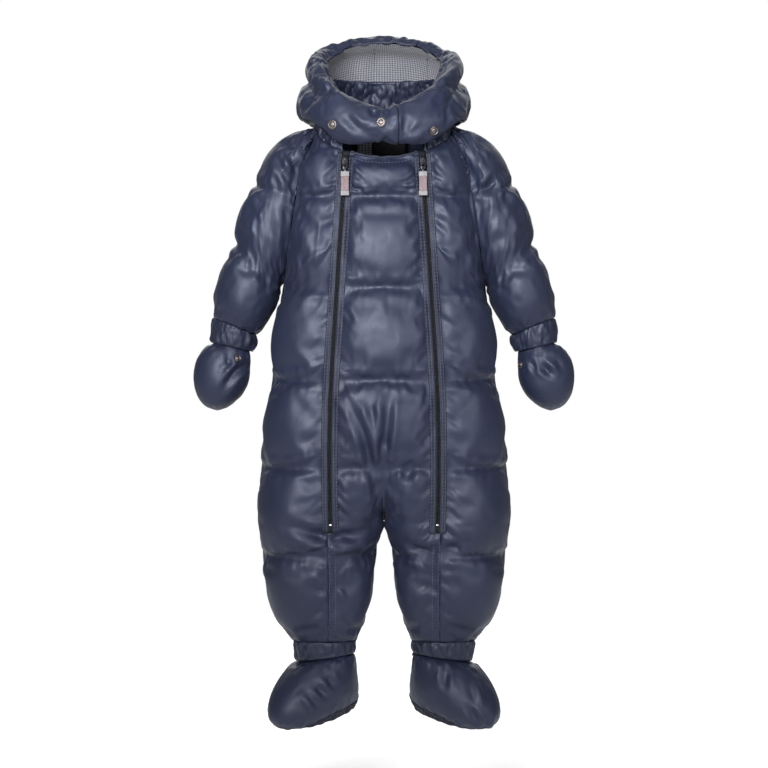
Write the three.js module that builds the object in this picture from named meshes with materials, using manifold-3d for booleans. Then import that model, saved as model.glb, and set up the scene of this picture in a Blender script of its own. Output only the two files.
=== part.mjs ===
// Quilted baby snowsuit with hood, mittens and booties, filled out with no wearer.
// Millimetres, +Z up, front towards -Y. The origin is inside the neck, level with the zip tops.
// "left" is the wearer's left, on the +X side.
import * as THREE from "three";
import Module from "manifold-3d";

const wasm = await Module();
wasm.setup();

// Cloth
const SEAM_GAP = 0.2; // each piece stops this far from its seam line
const FULLNESS = 0.7; // the smaller, the squarer a channel's section
const SIDE_FULLNESS = 0.55; // the same across, towards the seams at a channel's ends
const WALL = 3; // nylon, thin filling and lining pressed together at a seam
const BODY_PUFF = 10; // how far the filling lifts the middle of a channel
const BACK_PUFF = 11;
const SLEEVE_PUFF = 8;
const HOOD_PUFF = 7;
const CUFF_PUFF = 2.5;
const CUFF_GATHERS = 9;
const SOLE_PUFF = 2;
const COLLAR_GAP = 0.95; // the collar stands freely in its seam

// Quilt lines of the body, from the chest down to the ankle
const QUILT_Z = [-57, -160, -265, -364, -464, -563];
const CHANNEL_ROWS = [0, 0.2, 0.5, 0.8]; // shares of a channel's height
const CROTCH_ROWS = [0, 0.2, 0.38, 0.56, 0.73, 0.87];
const UNDERARM_LINE = 1; // index in QUILT_Z
const CROTCH_CHANNEL = 4;
const CROTCH_ROW = 3;
const ZIP_END_ROW = 4;

// Columns of one half, from the front centre round to the back centre
const CENTRE_COLUMNS = 4;
const SIDE_COLUMNS = 5;
const BACK_COLUMNS = 8;
const SLEEVE_COLUMNS = 16;

// Beside the underarm the filling is pressed flat, so body and sleeve stay clear of each other
const ARMPIT = { z: -163, reach: 34, flat: 0.75, columns: 0.3 };
const SHOULDER_PRESS = 0.45; // the hood weighs the top of the sleeve down

// Zips
const ZIP_WIDTH = 8;
const SLIDER_Z = -20;

// One half of the body at a height: side and inner reach of its lobe, front and back depth, squareness.
// Above the waist the two lobes are one oval; at the crotch they part.
const BODY = [
  { z: 60, side: 80, inner: -80, front: 34, back: 50, power: 2.3 },
  { z: 35, side: 93, inner: -93, front: 44, back: 60, power: 2.3 },
  { z: 0, side: 106, inner: -106, front: 59, back: 68, power: 2.4 },
  { z: -57, side: 116, inner: -116, front: 71, back: 76, power: 2.5 },
  { z: -110, side: 118, inner: -118, front: 77, back: 80, power: 2.5 },
  { z: -160, side: 117, inner: -117, front: 80, back: 82, power: 2.4 },
  { z: -195, side: 122, inner: -122, front: 82, back: 83, power: 2.4 },
  { z: -220, side: 126, inner: -126, front: 84, back: 84, power: 2.4 },
  { z: -265, side: 128, inner: -128, front: 86, back: 86, power: 2.4 },
  { z: -300, side: 133, inner: -126, front: 86, back: 89, power: 2.4 },
  { z: -335, side: 138, inner: -102, front: 85, back: 91, power: 2.3 },
  { z: -364, side: 141, inner: -66, front: 82, back: 90, power: 2.2 },
  { z: -394, side: 142, inner: -27, front: 78, back: 86, power: 2.1 },
  { z: -408, side: 142, inner: -10, front: 76, back: 84, power: 2.1 },
  { z: -420, side: 142, inner: 0, front: 75, back: 82, power: 2.1 },
  { z: -437, side: 141, inner: 7, front: 73, back: 79, power: 2.1 },
  { z: -464, side: 139, inner: 9, front: 69, back: 74, power: 2.1 },
  { z: -490, side: 137, inner: 13, front: 65, back: 68, power: 2.1 },
  { z: -517, side: 129, inner: 19, front: 57, back: 60, power: 2.1 },
  { z: -542, side: 120, inner: 24, front: 48, back: 50, power: 2.1 },
  { z: -563, side: 105, inner: 31, front: 37, back: 38, power: 2.1 },
];

// Distance of the zip, and of the leg seam below it, from the centre line
const ZIP_LINE = [
  { z: -5, x: 43 },
  { z: -62, x: 46.5 },
  { z: -119, x: 50.5 },
  { z: -175, x: 54 },
  { z: -231, x: 57.5 },
  { z: -287, x: 60.5 },
  { z: -343, x: 61.5 },
  { z: -399, x: 61 },
  { z: -437, x: 60 },
  { z: -464, x: 58.5 },
  { z: -520, x: 58 },
  { z: -563, x: 60 },
];

// Slanting seam between body and sleeve
const RAGLAN = [
  { z: 38, x: 69 },
  { z: 23, x: 75 },
  { z: 8, x: 82 },
  { z: -10, x: 91 },
  { z: -32, x: 97 },
  { z: -57, x: 101 },
  { z: -83, x: 105 },
  { z: -111, x: 109 },
  { z: -136, x: 113 },
  { z: -160, x: 117 },
];

// Neck edge heights
const NECK = { centre: -13, zip: -5, front: 16, back: 32, backCentre: 33 };

// Outer line and half depth of the sleeve along the raglan seam: at 0 the neck, at 1 the first quilt
// line, at 2 the underarm
const SHOULDER = [
  { at: 0, x: 78, z: 27, depth: 36 },
  { at: 0.2, x: 95, z: 19, depth: 41 },
  { at: 0.5, x: 119, z: 2, depth: 45 },
  { at: 0.8, x: 138, z: -22, depth: 47 },
  { at: 1, x: 148, z: -41, depth: 48 },
  { at: 1.2, x: 153, z: -56, depth: 49 },
  { at: 1.5, x: 158, z: -74, depth: 50 },
  { at: 1.8, x: 165, z: -92, depth: 48 },
  { at: 2, x: 171, z: -107, depth: 46 },
];

// Rings of the lower sleeve, its cuff and the mitten: outer and inner reach and half depth
const LOWER_SLEEVE = [
  { at: 0, outX: 171, outZ: -107, inX: 117, inZ: -160, depth: 46 },
  { at: 0.2, outX: 177, outZ: -125, inX: 121.5, inZ: -169, depth: 46 },
  { at: 0.5, outX: 184, outZ: -149, inX: 128, inZ: -186, depth: 45 },
  { at: 0.8, outX: 193, outZ: -174, inX: 136, inZ: -201, depth: 41 },
  { at: 1, outX: 197, outZ: -192, inX: 147, inZ: -213, depth: 31 },
];
const SLEEVE_CUFF = [
  { at: 0, outX: 197, outZ: -192, inX: 147, inZ: -213, depth: 31 },
  { at: 0.5, outX: 199, outZ: -206, inX: 147, inZ: -222, depth: 28 },
  { at: 1, outX: 198, outZ: -221, inX: 152, inZ: -231, depth: 25 },
];
const MITTEN = [
  { at: 0, outX: 198, outZ: -221, inX: 152, inZ: -231, depth: 25 },
  { at: 0.2, outX: 210, outZ: -234, inX: 156, inZ: -240, depth: 25 },
  { at: 0.4, outX: 215, outZ: -250, inX: 157, inZ: -253, depth: 26 },
  { at: 0.6, outX: 215, outZ: -267, inX: 158, inZ: -266, depth: 26 },
  { at: 0.8, outX: 212, outZ: -283, inX: 165, inZ: -281, depth: 22 },
  { at: 1, outX: 204, outZ: -295, inX: 177, inZ: -294, depth: 12 },
];
const MITTEN_TIP = { x: 191, z: -301 };
const MITTEN_PUFF = 4;

// Ankle cuff, and the foot below it in its own frame: forward, sideways and up from the sole
const ANKLE = { x: 67, z: -582, halfWidth: 35, halfDepth: 34, drop: 5 };
const FOOT = { height: 58, toe: 80, heel: 45, halfWidth: 38, yaw: 40, pitch: 15, roll: 12, ahead: 10 };
const FOOT_ROWS = [
  { up: 0.88, spread: 0.08, turn: 0.3 },
  { up: 0.7, spread: 0.42, turn: 0.8 },
  { up: 0.5, spread: 0.76, turn: 1 },
  { up: 0.3, spread: 0.96, turn: 1 },
  { up: 0.12, spread: 1, turn: 1 },
  { up: 0, spread: 0.9, turn: 1 },
];
const FOOT_PUFF = 4;
const SOLE_RINGS = [0.72, 0.4];
const SOLE_MIDDLE = 10; // ahead of the ankle

// Stand collar: top edge
const COLLAR = { top: 76, topFront: 30, halfWidth: 62, front: 52, back: 50, puff: 2 };
const COLLAR_RISE = { from: 0.6, over: 1.2, power: 0.6 }; // radians from the front centre
const COLLAR_ROWS = [0.35, 0.7, 1];

// Hood sections from the chin (0) round the side (3) to the back centre (6). Each runs from the edge
// sewn at the neck over the hem and up to the rim, and turns in as the facing.
const HOOD = [
  {
    neck: [0, -78, 10],
    hem: [0, -90, 0],
    belly: [0, -98, 13],
    quilt: [0, -97, 25],
    crown: [0, -91, 34],
    rim: [0, -81, 36],
    facing: [0, -77, 26],
  },
  {
    neck: [38, -69, 9],
    hem: [42, -80, -2],
    belly: [45, -88, 14],
    quilt: [44, -86, 33],
    crown: [39, -77, 48],
    rim: [33, -68, 54],
    facing: [30, -64, 43],
  },
  {
    neck: [66, -47.2, 22.8],
    hem: [70, -63, 16],
    belly: [75, -66, 30],
    quilt: [73, -64, 53],
    crown: [65, -55, 70],
    rim: [57, -46, 76],
    facing: [52, -42, 65],
  },
  {
    neck: [83, -2.6, 41],
    hem: [93, -8, 34],
    belly: [93, -8, 47],
    quilt: [88, -6, 76],
    crown: [80, -2, 97],
    rim: [72, 2, 105],
    facing: [65, 3, 95],
  },
  {
    neck: [74, 43, 45],
    hem: [82, 52, 29],
    belly: [87, 56, 50],
    quilt: [84, 57, 80],
    crown: [76, 53, 106],
    rim: [66, 41, 117],
    facing: [59, 37, 108],
  },
  {
    neck: [41, 66, 44],
    hem: [48, 82, 24],
    belly: [53, 94, 50],
    quilt: [52, 97, 82],
    crown: [47, 87, 114],
    rim: [43, 64, 130],
    facing: [38, 55, 121],
  },
  {
    neck: [0, 74, 43],
    hem: [0, 92, 22],
    belly: [0, 107, 50],
    quilt: [0, 111, 84],
    crown: [0, 99, 119],
    rim: [0, 72, 136],
    facing: [0, 60, 126],
  },
];
const HOOD_RINGS = ["neck", "hem", "belly", "quilt", "crown", "rim", "facing"];
const HOOD_COLUMNS = 18; // in one half
const HOOD_STEPS = 12; // from neck to facing
const HOOD_SEAM = 15; // column of the seam between side and centre piece
const HOOD_SEAM_LIFT = 0.3; // share of the filling's lift left at that seam
const HOOD_QUILT = { from: 1.2, full: 2.4 }; // sections where the quilt line begins and is full
const CHIN_COLUMN = 1; // the chin closes off centre, on the wearer's left
const LINING_FIRST = 8; // first hood column that the lining covers
const LINING_ROWS = [8, 6, 4]; // hood rows that the lining follows
const LINING_SAG = 3; // of its free stretch between the facing and the crown
const LINING_OFFSET = 4.7;
const LINING_WALL = 1.4;

// Zip slider and pull
const SLIDER = {
  width: 7,
  length: 16,
  height: 3.2,
  corner: 2.2,
  post: 1,
  bar: 0.8,
  barHeight: 2.7,
  barDrop: 3,
  clear: 0.9,
};
const PULL = {
  width: 9.5,
  length: 29,
  thickness: 1.6,
  corner: 1.6,
  arm: 6,
  eye: 2.2,
  eyeWidth: 3,
  play: 0.5,
};
const PULL_JOIN = 0.3; // the arm starts inside the eye's wall, and ends inside the tab

// Snap fasteners of the hood
const SNAP = { radius: 5.7, height: 2.4 };
const SNAP_PROFILE = [
  { out: 0, up: 0 },
  { out: 1, up: 0 },
  { out: 1, up: 0.4 },
  { out: 0.86, up: 0.8 },
  { out: 0.55, up: 0.85 },
  { out: 0.4, up: 1 },
  { out: 0, up: 1 },
];
const SNAPS = { snap_right: [-57, 21], snap_chin: [-3, 22], snap_left: [55, 15] };

const AXES = ["x", "y", "z"];
const V = (x, y, z) => new THREE.Vector3(x, y, z);
const mix = THREE.MathUtils.lerp;
const rad = THREE.MathUtils.degToRad;
const clamp = THREE.MathUtils.clamp;

// A table's column read smoothly between its rows
function read(table, at, column, key) {
  const rising = table[table.length - 1][key] > table[0][key];
  let i = 0;
  while (i < table.length - 2 && (rising ? at > table[i + 1][key] : at < table[i + 1][key])) i++;
  const slope = (j) => {
    const a = table[Math.max(j - 1, 0)];
    const b = table[Math.min(j + 1, table.length - 1)];
    return (b[column] - a[column]) / (b[key] - a[key]);
  };
  const [a, b] = [table[i], table[i + 1]];
  const span = b[key] - a[key];
  const t = clamp((at - a[key]) / span, 0, 1);
  const rise = 3 * t ** 2 - 2 * t ** 3;
  const start = t ** 3 - 2 * t ** 2 + t;
  const end = t ** 3 - t ** 2;
  return mix(a[column], b[column], rise) + span * (start * slope(i) + end * slope(i + 1));
}

// Surface points with the lift of their filling, and the faces of each piece
const cloth = { points: [], lifts: [], faces: [] };

function point(p, lift = 0) {
  cloth.points.push(p);
  cloth.lifts.push(lift);
  return cloth.points.length - 1;
}

// Faces between two rows of point numbers, turned round for the right side. Each four-sided face is
// split from its upper first corner, or from its lower first corner where fromLower is set.
function band(piece, upper, lower, side, fromLower = false) {
  for (let i = 0; i + 1 < upper.length; i++) {
    const [a, b, c, d] = [upper[i], lower[i], lower[i + 1], upper[i + 1]];
    const split = fromLower ? [[a, b, d], [b, c, d]] : [[a, b, c], [a, c, d]];
    for (const face of split)
      if (new Set(face).size === 3) cloth.faces.push({ piece, face: side < 0 ? face.reverse() : face });
  }
}

const bodyAt = (z) => {
  const row = {};
  for (const column of ["side", "inner", "front", "back", "power"]) row[column] = read(BODY, z, column, "z");
  return row;
};

// Angle round a half lobe, from its inner side over the front (0 to pi), at which it reaches x
function angleAt(z, x) {
  const { side, inner, power } = bodyAt(z);
  const share = clamp(((side + inner) / 2 - x) / ((side - inner) / 2), -1, 1);
  return Math.acos(Math.sign(share) * Math.abs(share) ** (power / 2));
}

function bodyPoint(z, angle, side) {
  const row = bodyAt(z);
  const [c, s] = [Math.cos(angle), Math.sin(angle)];
  const round = 2 / row.power;
  const x = (row.side + row.inner) / 2 - ((row.side - row.inner) / 2) * Math.sign(c) * Math.abs(c) ** round;
  const y = (s > 0 ? -row.front : row.back) * Math.abs(s) ** round;
  return V(side * Math.max(x, 0), y, z);
}

// Heights of all rows of the body; the first channel starts at the neck edge
const LEVELS = [];
for (let channel = 0; channel < QUILT_Z.length; channel++) {
  const rows = channel === CROTCH_CHANNEL ? CROTCH_ROWS : CHANNEL_ROWS;
  for (const share of rows) LEVELS.push({ channel, share });
}
LEVELS.push({ channel: QUILT_Z.length, share: 0 });
const UNDERARM = LEVELS.findIndex((l) => l.channel === UNDERARM_LINE + 1);
const CROTCH = LEVELS.findIndex((l) => l.channel === CROTCH_CHANNEL) + CROTCH_ROW;
const ZIP_END = LEVELS.findIndex((l) => l.channel === CROTCH_CHANNEL) + ZIP_END_ROW;

function levelZ(level, neckZ) {
  const { channel, share } = LEVELS[level];
  if (channel === QUILT_Z.length) return QUILT_Z[channel - 1];
  return mix(channel === 0 ? neckZ : QUILT_Z[channel - 1], QUILT_Z[channel], share);
}

// Share of the filling's lift that is left at a height, a share away from the underarm's seam
function armpitEase(z, away) {
  const near = Math.exp(-(((z - ARMPIT.z) / ARMPIT.reach) ** 2));
  return 1 - ARMPIT.flat * near * clamp(1 - away / ARMPIT.columns, 0, 1);
}

const hump = (share, fullness) => Math.max(Math.sin(Math.PI * clamp(share, 0, 1)), 0) ** fullness;
const channelLift = (share) => hump(share, FULLNESS);
const acrossLift = (share) => hump(share, SIDE_FULLNESS);

// Points of one half of the body: rows of the front and of the back
const centreRow = { front: [], back: [] };

function makeHalf(side) {
  const front = [];
  const back = [];
  LEVELS.forEach(({ share }, level) => {
    const lift = channelLift(share);
    const row = [];
    const crossing = (z) => (level <= CROTCH ? angleAt(z, 0) : 0);
    for (let i = 0; i <= CENTRE_COLUMNS; i++) {
      const z = levelZ(level, mix(NECK.centre, NECK.zip, (i / CENTRE_COLUMNS) ** 2));
      const zipX = read(ZIP_LINE, z, "x", "z") - ZIP_WIDTH / 2;
      const angle = mix(crossing(z), angleAt(z, zipX), i / CENTRE_COLUMNS);
      const round = i / CENTRE_COLUMNS;
      const across = acrossLift(level < CROTCH ? (1 + round) / 2 : round);
      if (i === 0 && level <= CROTCH) {
        const raised = level < CROTCH ? BODY_PUFF * lift : 0;
        if (side > 0) centreRow.front.push(point(bodyPoint(z, angle, side), raised));
        row.push(centreRow.front[level]);
      } else row.push(point(bodyPoint(z, angle, side), BODY_PUFF * lift * across));
    }
    for (let i = 0; i <= SIDE_COLUMNS; i++) {
      const z = levelZ(level, mix(NECK.zip, NECK.front, i / SIDE_COLUMNS));
      const zipX = read(ZIP_LINE, z, "x", "z") + ZIP_WIDTH / 2;
      const edge = level < UNDERARM ? angleAt(z, read(RAGLAN, z, "x", "z")) : Math.PI;
      const across = i / SIDE_COLUMNS;
      const raised = BODY_PUFF * lift * acrossLift(across) * armpitEase(z, 1 - across);
      row.push(point(bodyPoint(z, mix(angleAt(z, zipX), edge, across), side), raised));
    }
    front.push(row);
    const behind = [];
    for (let i = 0; i <= BACK_COLUMNS; i++) {
      const z = levelZ(level, mix(NECK.back, NECK.backCentre, i / BACK_COLUMNS));
      const edge = level < UNDERARM ? 2 * Math.PI - angleAt(z, read(RAGLAN, z, "x", "z")) : Math.PI;
      const angle = mix(edge, 2 * Math.PI - crossing(z), i / BACK_COLUMNS);
      const round = i / BACK_COLUMNS;
      const across = acrossLift(level < CROTCH ? round / 2 : round);
      if (i === 0 && level >= UNDERARM) behind.push(row[row.length - 1]);
      else if (i === BACK_COLUMNS && level >= CROTCH) behind.push(row[0]);
      else if (i === BACK_COLUMNS) {
        if (side > 0) centreRow.back.push(point(bodyPoint(z, angle, side), BACK_PUFF * lift));
        behind.push(centreRow.back[level]);
      } else {
        const raised = BACK_PUFF * lift * across * armpitEase(z, i / BACK_COLUMNS);
        behind.push(point(bodyPoint(z, angle, side), raised));
      }
    }
    back.push(behind);
  });
  return { front, back };
}

// Faces of the front pieces, the zip and the back
function coverHalf(name, side, { front, back }) {
  for (let level = 0; level + 1 < LEVELS.length; level++) {
    const [upper, lower] = [front[level], front[level + 1]];
    const [zip, beside] = [CENTRE_COLUMNS, CENTRE_COLUMNS + 1];
    const zipPiece = level < ZIP_END ? "zip_" + name : "front_center";
    band("front_center", upper.slice(0, beside), lower.slice(0, beside), side);
    band(zipPiece, upper.slice(zip, beside + 1), lower.slice(zip, beside + 1), side);
    band("front_side_" + name, upper.slice(beside), lower.slice(beside), side);
    band("back", back[level], back[level + 1], side, true);
  }
}

const seamDistance = (i) => Math.min(i, SLEEVE_COLUMNS - i) / SLEEVE_COLUMNS;

// One ring through its outer and inner reach, closed at the given seam point number
function ring({ outX, outZ, inX, inZ, depth }, side, lift, seam) {
  const centre = V((outX + inX) / 2, 0, (outZ + inZ) / 2);
  const reach = V(outX, 0, outZ).sub(centre);
  const ids = [];
  for (let i = 0; i < SLEEVE_COLUMNS; i++) {
    if (i === 0 && seam !== undefined) {
      ids.push(seam);
      continue;
    }
    const angle = Math.PI + (2 * Math.PI * i) / SLEEVE_COLUMNS;
    const p = centre.clone().addScaledVector(reach, Math.cos(angle));
    p.y = depth * Math.sin(angle);
    p.x *= side;
    ids.push(point(p, lift(i)));
  }
  ids.push(ids[0]);
  return ids;
}

// Upper sleeve rows run from the front raglan seam over the arm to the back one
function sleeveRows(side, { front, back }) {
  const rows = [];
  for (let level = 0; level < UNDERARM; level++) {
    const { channel, share } = LEVELS[level];
    const [seamFront, seamBack] = [front[level].at(-1), back[level][0]];
    const [start, end] = [cloth.points[seamFront], cloth.points[seamBack]];
    const at = channel + share;
    const outer = V(side * read(SHOULDER, at, "x", "at"), 0, read(SHOULDER, at, "z", "at"));
    const depth = Math.max(read(SHOULDER, at, "depth", "at"), Math.abs(start.y));
    const turn = Math.PI - Math.asin(clamp(-start.y / depth, 0, 1));
    const centre = V(start.x, 0, start.z).addScaledVector(outer, -Math.cos(turn));
    centre.divideScalar(1 - Math.cos(turn));
    const reach = outer.clone().sub(centre);
    const place = (angle) => {
      const p = centre.clone().addScaledVector(reach, Math.cos(angle));
      p.y = depth * Math.sin(angle);
      return p;
    };
    const miss = end.clone().sub(place(turn));
    const row = [seamFront];
    for (let i = 1; i < SLEEVE_COLUMNS; i++) {
      const round = i / SLEEVE_COLUMNS;
      const p = place(mix(-turn, turn, round));
      p.addScaledVector(miss, clamp(2 * round - 1, 0, 1) ** 2);
      const pressed = mix(SHOULDER_PRESS, 1, clamp(2 * at, 0, 1)) * armpitEase(p.z, seamDistance(i));
      row.push(point(p, SLEEVE_PUFF * channelLift(share) * acrossLift(round) * pressed));
    }
    row.push(seamBack);
    rows.push(row);
  }
  return rows;
}

function sleeveLift({ at, inZ }, amount) {
  return (i) => amount * channelLift(at) * acrossLift(i / SLEEVE_COLUMNS) * armpitEase(inZ, seamDistance(i));
}

function makeSleeve(name, side, half) {
  const rows = sleeveRows(side, half);
  rows.push(ring(LOWER_SLEEVE[0], side, () => 0, half.front[UNDERARM].at(-1)));
  for (const row of LOWER_SLEEVE.slice(1)) rows.push(ring(row, side, sleeveLift(row, SLEEVE_PUFF)));
  const middle = SLEEVE_COLUMNS / 2;
  for (let i = 0; i + 1 < rows.length; i++) {
    band("sleeve_" + name, rows[i].slice(0, middle + 1), rows[i + 1].slice(0, middle + 1), side, true);
    band("sleeve_" + name, rows[i].slice(middle), rows[i + 1].slice(middle), side);
  }
  const gather = (share) => (i) => {
    const wave = Math.abs(Math.sin((CUFF_GATHERS * Math.PI * i) / SLEEVE_COLUMNS));
    return CUFF_PUFF * Math.sin(Math.PI * share) * wave;
  };
  const cuff = [rows.at(-1)];
  for (const row of SLEEVE_CUFF.slice(1)) cuff.push(ring(row, side, gather(row.at)));
  for (let i = 0; i + 1 < cuff.length; i++) band("sleeve_cuff_" + name, cuff[i], cuff[i + 1], side);
  const mitten = [cuff.at(-1)];
  for (const row of MITTEN.slice(1)) mitten.push(ring(row, side, () => MITTEN_PUFF * channelLift(row.at)));
  const tip = point(V(side * MITTEN_TIP.x, 0, MITTEN_TIP.z));
  mitten.push(mitten[0].map(() => tip));
  for (let i = 0; i + 1 < mitten.length; i++) band("mitten_" + name, mitten[i], mitten[i + 1], side);
  return rows;
}

// Foot in its own frame turned into place: forward, outward and up
function footPlace(side, share = 1) {
  const [pitch, roll] = [share * FOOT.pitch, -side * share * FOOT.roll];
  const turn = new THREE.Euler(rad(pitch), rad(roll), rad(side * FOOT.yaw), "ZXY");
  const ankle = V(side * ANKLE.x, 0, ANKLE.z);
  return (forward, outward, up) =>
    V(side * outward, -forward - share * FOOT.ahead, up - FOOT.height).applyEuler(turn).add(ankle);
}

function makeFoot(name, side, { front, back }) {
  const last = LEVELS.length - 1;
  const top = [...front[last], ...back[last].slice(1)];
  const centre = V(side * ANKLE.x, 0, ANKLE.z);
  // direction of each column round the ankle
  const directions = top.map((id) => {
    const p = cloth.points[id].clone().sub(centre);
    return V(p.x, p.y, 0).normalize();
  });
  const closed = (make) => {
    const ids = directions.slice(0, -1).map(make);
    return [...ids, ids[0]];
  };
  const cuffRow = (share) =>
    closed((d, i) => {
      const z = ANKLE.z - side * d.x * ANKLE.drop;
      const p = V(centre.x + d.x * ANKLE.halfWidth, d.y * ANKLE.halfDepth, z);
      const gathered = CUFF_PUFF * Math.sin(Math.PI * share) * (i % 2);
      return point(p.lerp(cloth.points[top[i]], 1 - share), gathered);
    });
  const cuff = [top, cuffRow(0.5), cuffRow(1)];
  for (let i = 0; i + 1 < cuff.length; i++) band("ankle_cuff_" + name, cuff[i], cuff[i + 1], side);
  const place = footPlace(side);
  const yaw = rad(side * FOOT.yaw);
  const outline = (d, up, spread) => {
    const turned = d.clone().applyAxisAngle(V(0, 0, 1), -yaw);
    const length = turned.y < 0 ? FOOT.toe : FOOT.heel;
    return {
      forward: -turned.y * mix(ANKLE.halfDepth, length, spread),
      outward: side * turned.x * mix(ANKLE.halfWidth, FOOT.halfWidth, spread),
      up: up * FOOT.height,
    };
  };
  const footRow = ({ up, spread, turn }) =>
    closed((d) => {
      const o = outline(d, up, spread);
      const raised = FOOT_PUFF * Math.sin(Math.PI * (1 - up));
      return point(footPlace(side, turn)(o.forward, o.outward, o.up), raised);
    });
  const upper = [cuff.at(-1), ...FOOT_ROWS.map(footRow)];
  for (let i = 0; i + 1 < upper.length; i++) band("bootie_" + name, upper[i], upper[i + 1], side);
  const sole = [upper.at(-1)];
  for (const share of SOLE_RINGS)
    sole.push(
      closed((d) => {
        const o = outline(d, 0, FOOT_ROWS.at(-1).spread);
        const forward = mix(SOLE_MIDDLE, o.forward, share);
        return point(place(forward, o.outward * share, -SOLE_PUFF));
      }),
    );
  const middle = point(place(SOLE_MIDDLE, 0, -SOLE_PUFF));
  sole.push(sole[0].map(() => middle));
  for (let i = 0; i + 1 < sole.length; i++) band("bootie_sole_" + name, sole[i], sole[i + 1], side);
}

// Stand collar from zip to zip, on the neck edge of the side fronts, sleeves and back
function makeCollar(halves, sleeves) {
  const edge = (name) => {
    const { front, back } = halves[name];
    return [...front[0].slice(CENTRE_COLUMNS + 1), ...sleeves[name][0].slice(1, -1), ...back[0]];
  };
  const neck = [...edge("left"), ...edge("right").reverse().slice(1)];
  let lower = neck;
  for (const share of COLLAR_ROWS) {
    const row = neck.map((id) => {
      const base = cloth.points[id];
      const round = Math.atan2(base.x, -base.y);
      const risen = clamp((Math.abs(round) - COLLAR_RISE.from) / COLLAR_RISE.over, 0, 1);
      const top = V(
        COLLAR.halfWidth * Math.sin(round),
        -Math.cos(round) * (Math.cos(round) > 0 ? COLLAR.front : COLLAR.back),
        mix(COLLAR.topFront, COLLAR.top, risen ** COLLAR_RISE.power),
      );
      const p = base.clone().lerp(top, share);
      return point(p, COLLAR.puff * Math.sin(Math.PI * share));
    });
    band("collar", lower, row, -1);
    lower = row;
  }
}

// Hood surface at a section number and a ring number
function hoodPoint(section, ringNumber) {
  const spots = HOOD_RINGS.map((key, at) => {
    const spot = { at };
    AXES.forEach((axis, k) => {
      const column = HOOD.map((row, i) => ({ at: i, value: row[key][k] }));
      spot[axis] = read(column, section, "value", "at");
    });
    return spot;
  });
  return V(...AXES.map((axis) => read(spots, ringNumber, axis, "at")));
}

// The chin is one roll; towards the side a quilt line divides it in two
function hoodLift(section, ringNumber) {
  const share = (ringNumber - 1) / 4; // from the hem to the rim
  const pinch = THREE.MathUtils.smoothstep(section, HOOD_QUILT.from, HOOD_QUILT.full);
  const two = share < 0.5 ? hump(2 * share, FULLNESS) : hump(2 * share - 1, FULLNESS);
  return HOOD_PUFF * mix(hump(share, FULLNESS), two, pinch);
}

function makeHood() {
  const rows = [];
  for (let step = 0; step <= HOOD_STEPS; step++) {
    const ringNumber = ((HOOD_RINGS.length - 1) * step) / HOOD_STEPS;
    const row = [];
    for (let i = -HOOD_COLUMNS; i < HOOD_COLUMNS; i++) {
      const section = ((HOOD.length - 1) * Math.abs(i)) / HOOD_COLUMNS;
      const p = hoodPoint(section, ringNumber);
      p.x *= Math.sign(i);
      const seam = Math.abs(i) === HOOD_SEAM ? HOOD_SEAM_LIFT : 1;
      row.push(point(p, seam * hoodLift(section, ringNumber)));
    }
    rows.push([...row, row[0]]);
  }
  const columnOf = (i) => i + HOOD_COLUMNS;
  const pieces = {
    hood_center: [
      [columnOf(HOOD_SEAM), columnOf(HOOD_COLUMNS)],
      [columnOf(-HOOD_COLUMNS), columnOf(-HOOD_SEAM)],
    ],
    hood_right: [[columnOf(-HOOD_SEAM), columnOf(CHIN_COLUMN)]],
    hood_left: [[columnOf(CHIN_COLUMN), columnOf(HOOD_SEAM)]],
  };
  for (const [piece, spans] of Object.entries(pieces))
    for (const [from, to] of spans)
      for (let i = 0; i + 1 < rows.length; i++)
        band(piece, rows[i].slice(from, to + 1), rows[i + 1].slice(from, to + 1), -1);
  return rows;
}

// Outward direction of every point, from the faces around it
function normals() {
  const sums = cloth.points.map(() => V(0, 0, 0));
  for (const { face } of cloth.faces) {
    const [a, b, c] = face.map((id) => cloth.points[id]);
    const cross = b.clone().sub(a).cross(c.clone().sub(a));
    for (const id of face) sums[id].add(cross);
  }
  return sums.map((n) => n.normalize());
}

const LEAST_SINE = 0.2; // limits the step at a piece's sharp corners

// Step from each edge point of a piece into the piece, so that neighbours stay apart
function insets(faces, points, gap) {
  const uses = new Map();
  const key = (a, b) => Math.min(a, b) + "_" + Math.max(a, b);
  for (const face of faces)
    face.forEach((a, i) => {
      const b = face[(i + 1) % 3];
      uses.set(key(a, b), [...(uses.get(key(a, b)) ?? []), [a, b]]);
    });
  const inward = new Map();
  const along = new Map();
  const put = (map, id, v) => map.set(id, [...(map.get(id) ?? []), v]);
  for (const [[a, b], second] of uses.values()) {
    const step = points[b].clone().sub(points[a]).normalize();
    for (const [id, v] of [[a, step], [b, step.clone().negate()]]) put(second ? inward : along, id, v);
  }
  const moves = new Map();
  for (const [id, edges] of along) {
    const sum = V(0, 0, 0);
    for (const v of inward.get(id) ?? []) sum.add(v);
    if (!inward.has(id))
      for (const face of faces.filter((f) => f.includes(id)))
        for (const other of face) sum.add(points[other]).sub(points[id]);
    sum.normalize();
    const clear = Math.max(LEAST_SINE, Math.min(...edges.map((e) => Math.sqrt(1 - sum.dot(e) ** 2))));
    moves.set(id, sum.multiplyScalar(gap / clear));
  }
  return moves;
}

function geometry(positions, triangles) {
  const g = new THREE.BufferGeometry();
  g.setAttribute("position", new THREE.Float32BufferAttribute(positions.flatMap((p) => p.toArray()), 3));
  g.setIndex(triangles.flat());
  g.computeVertexNormals();
  return g;
}

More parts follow.
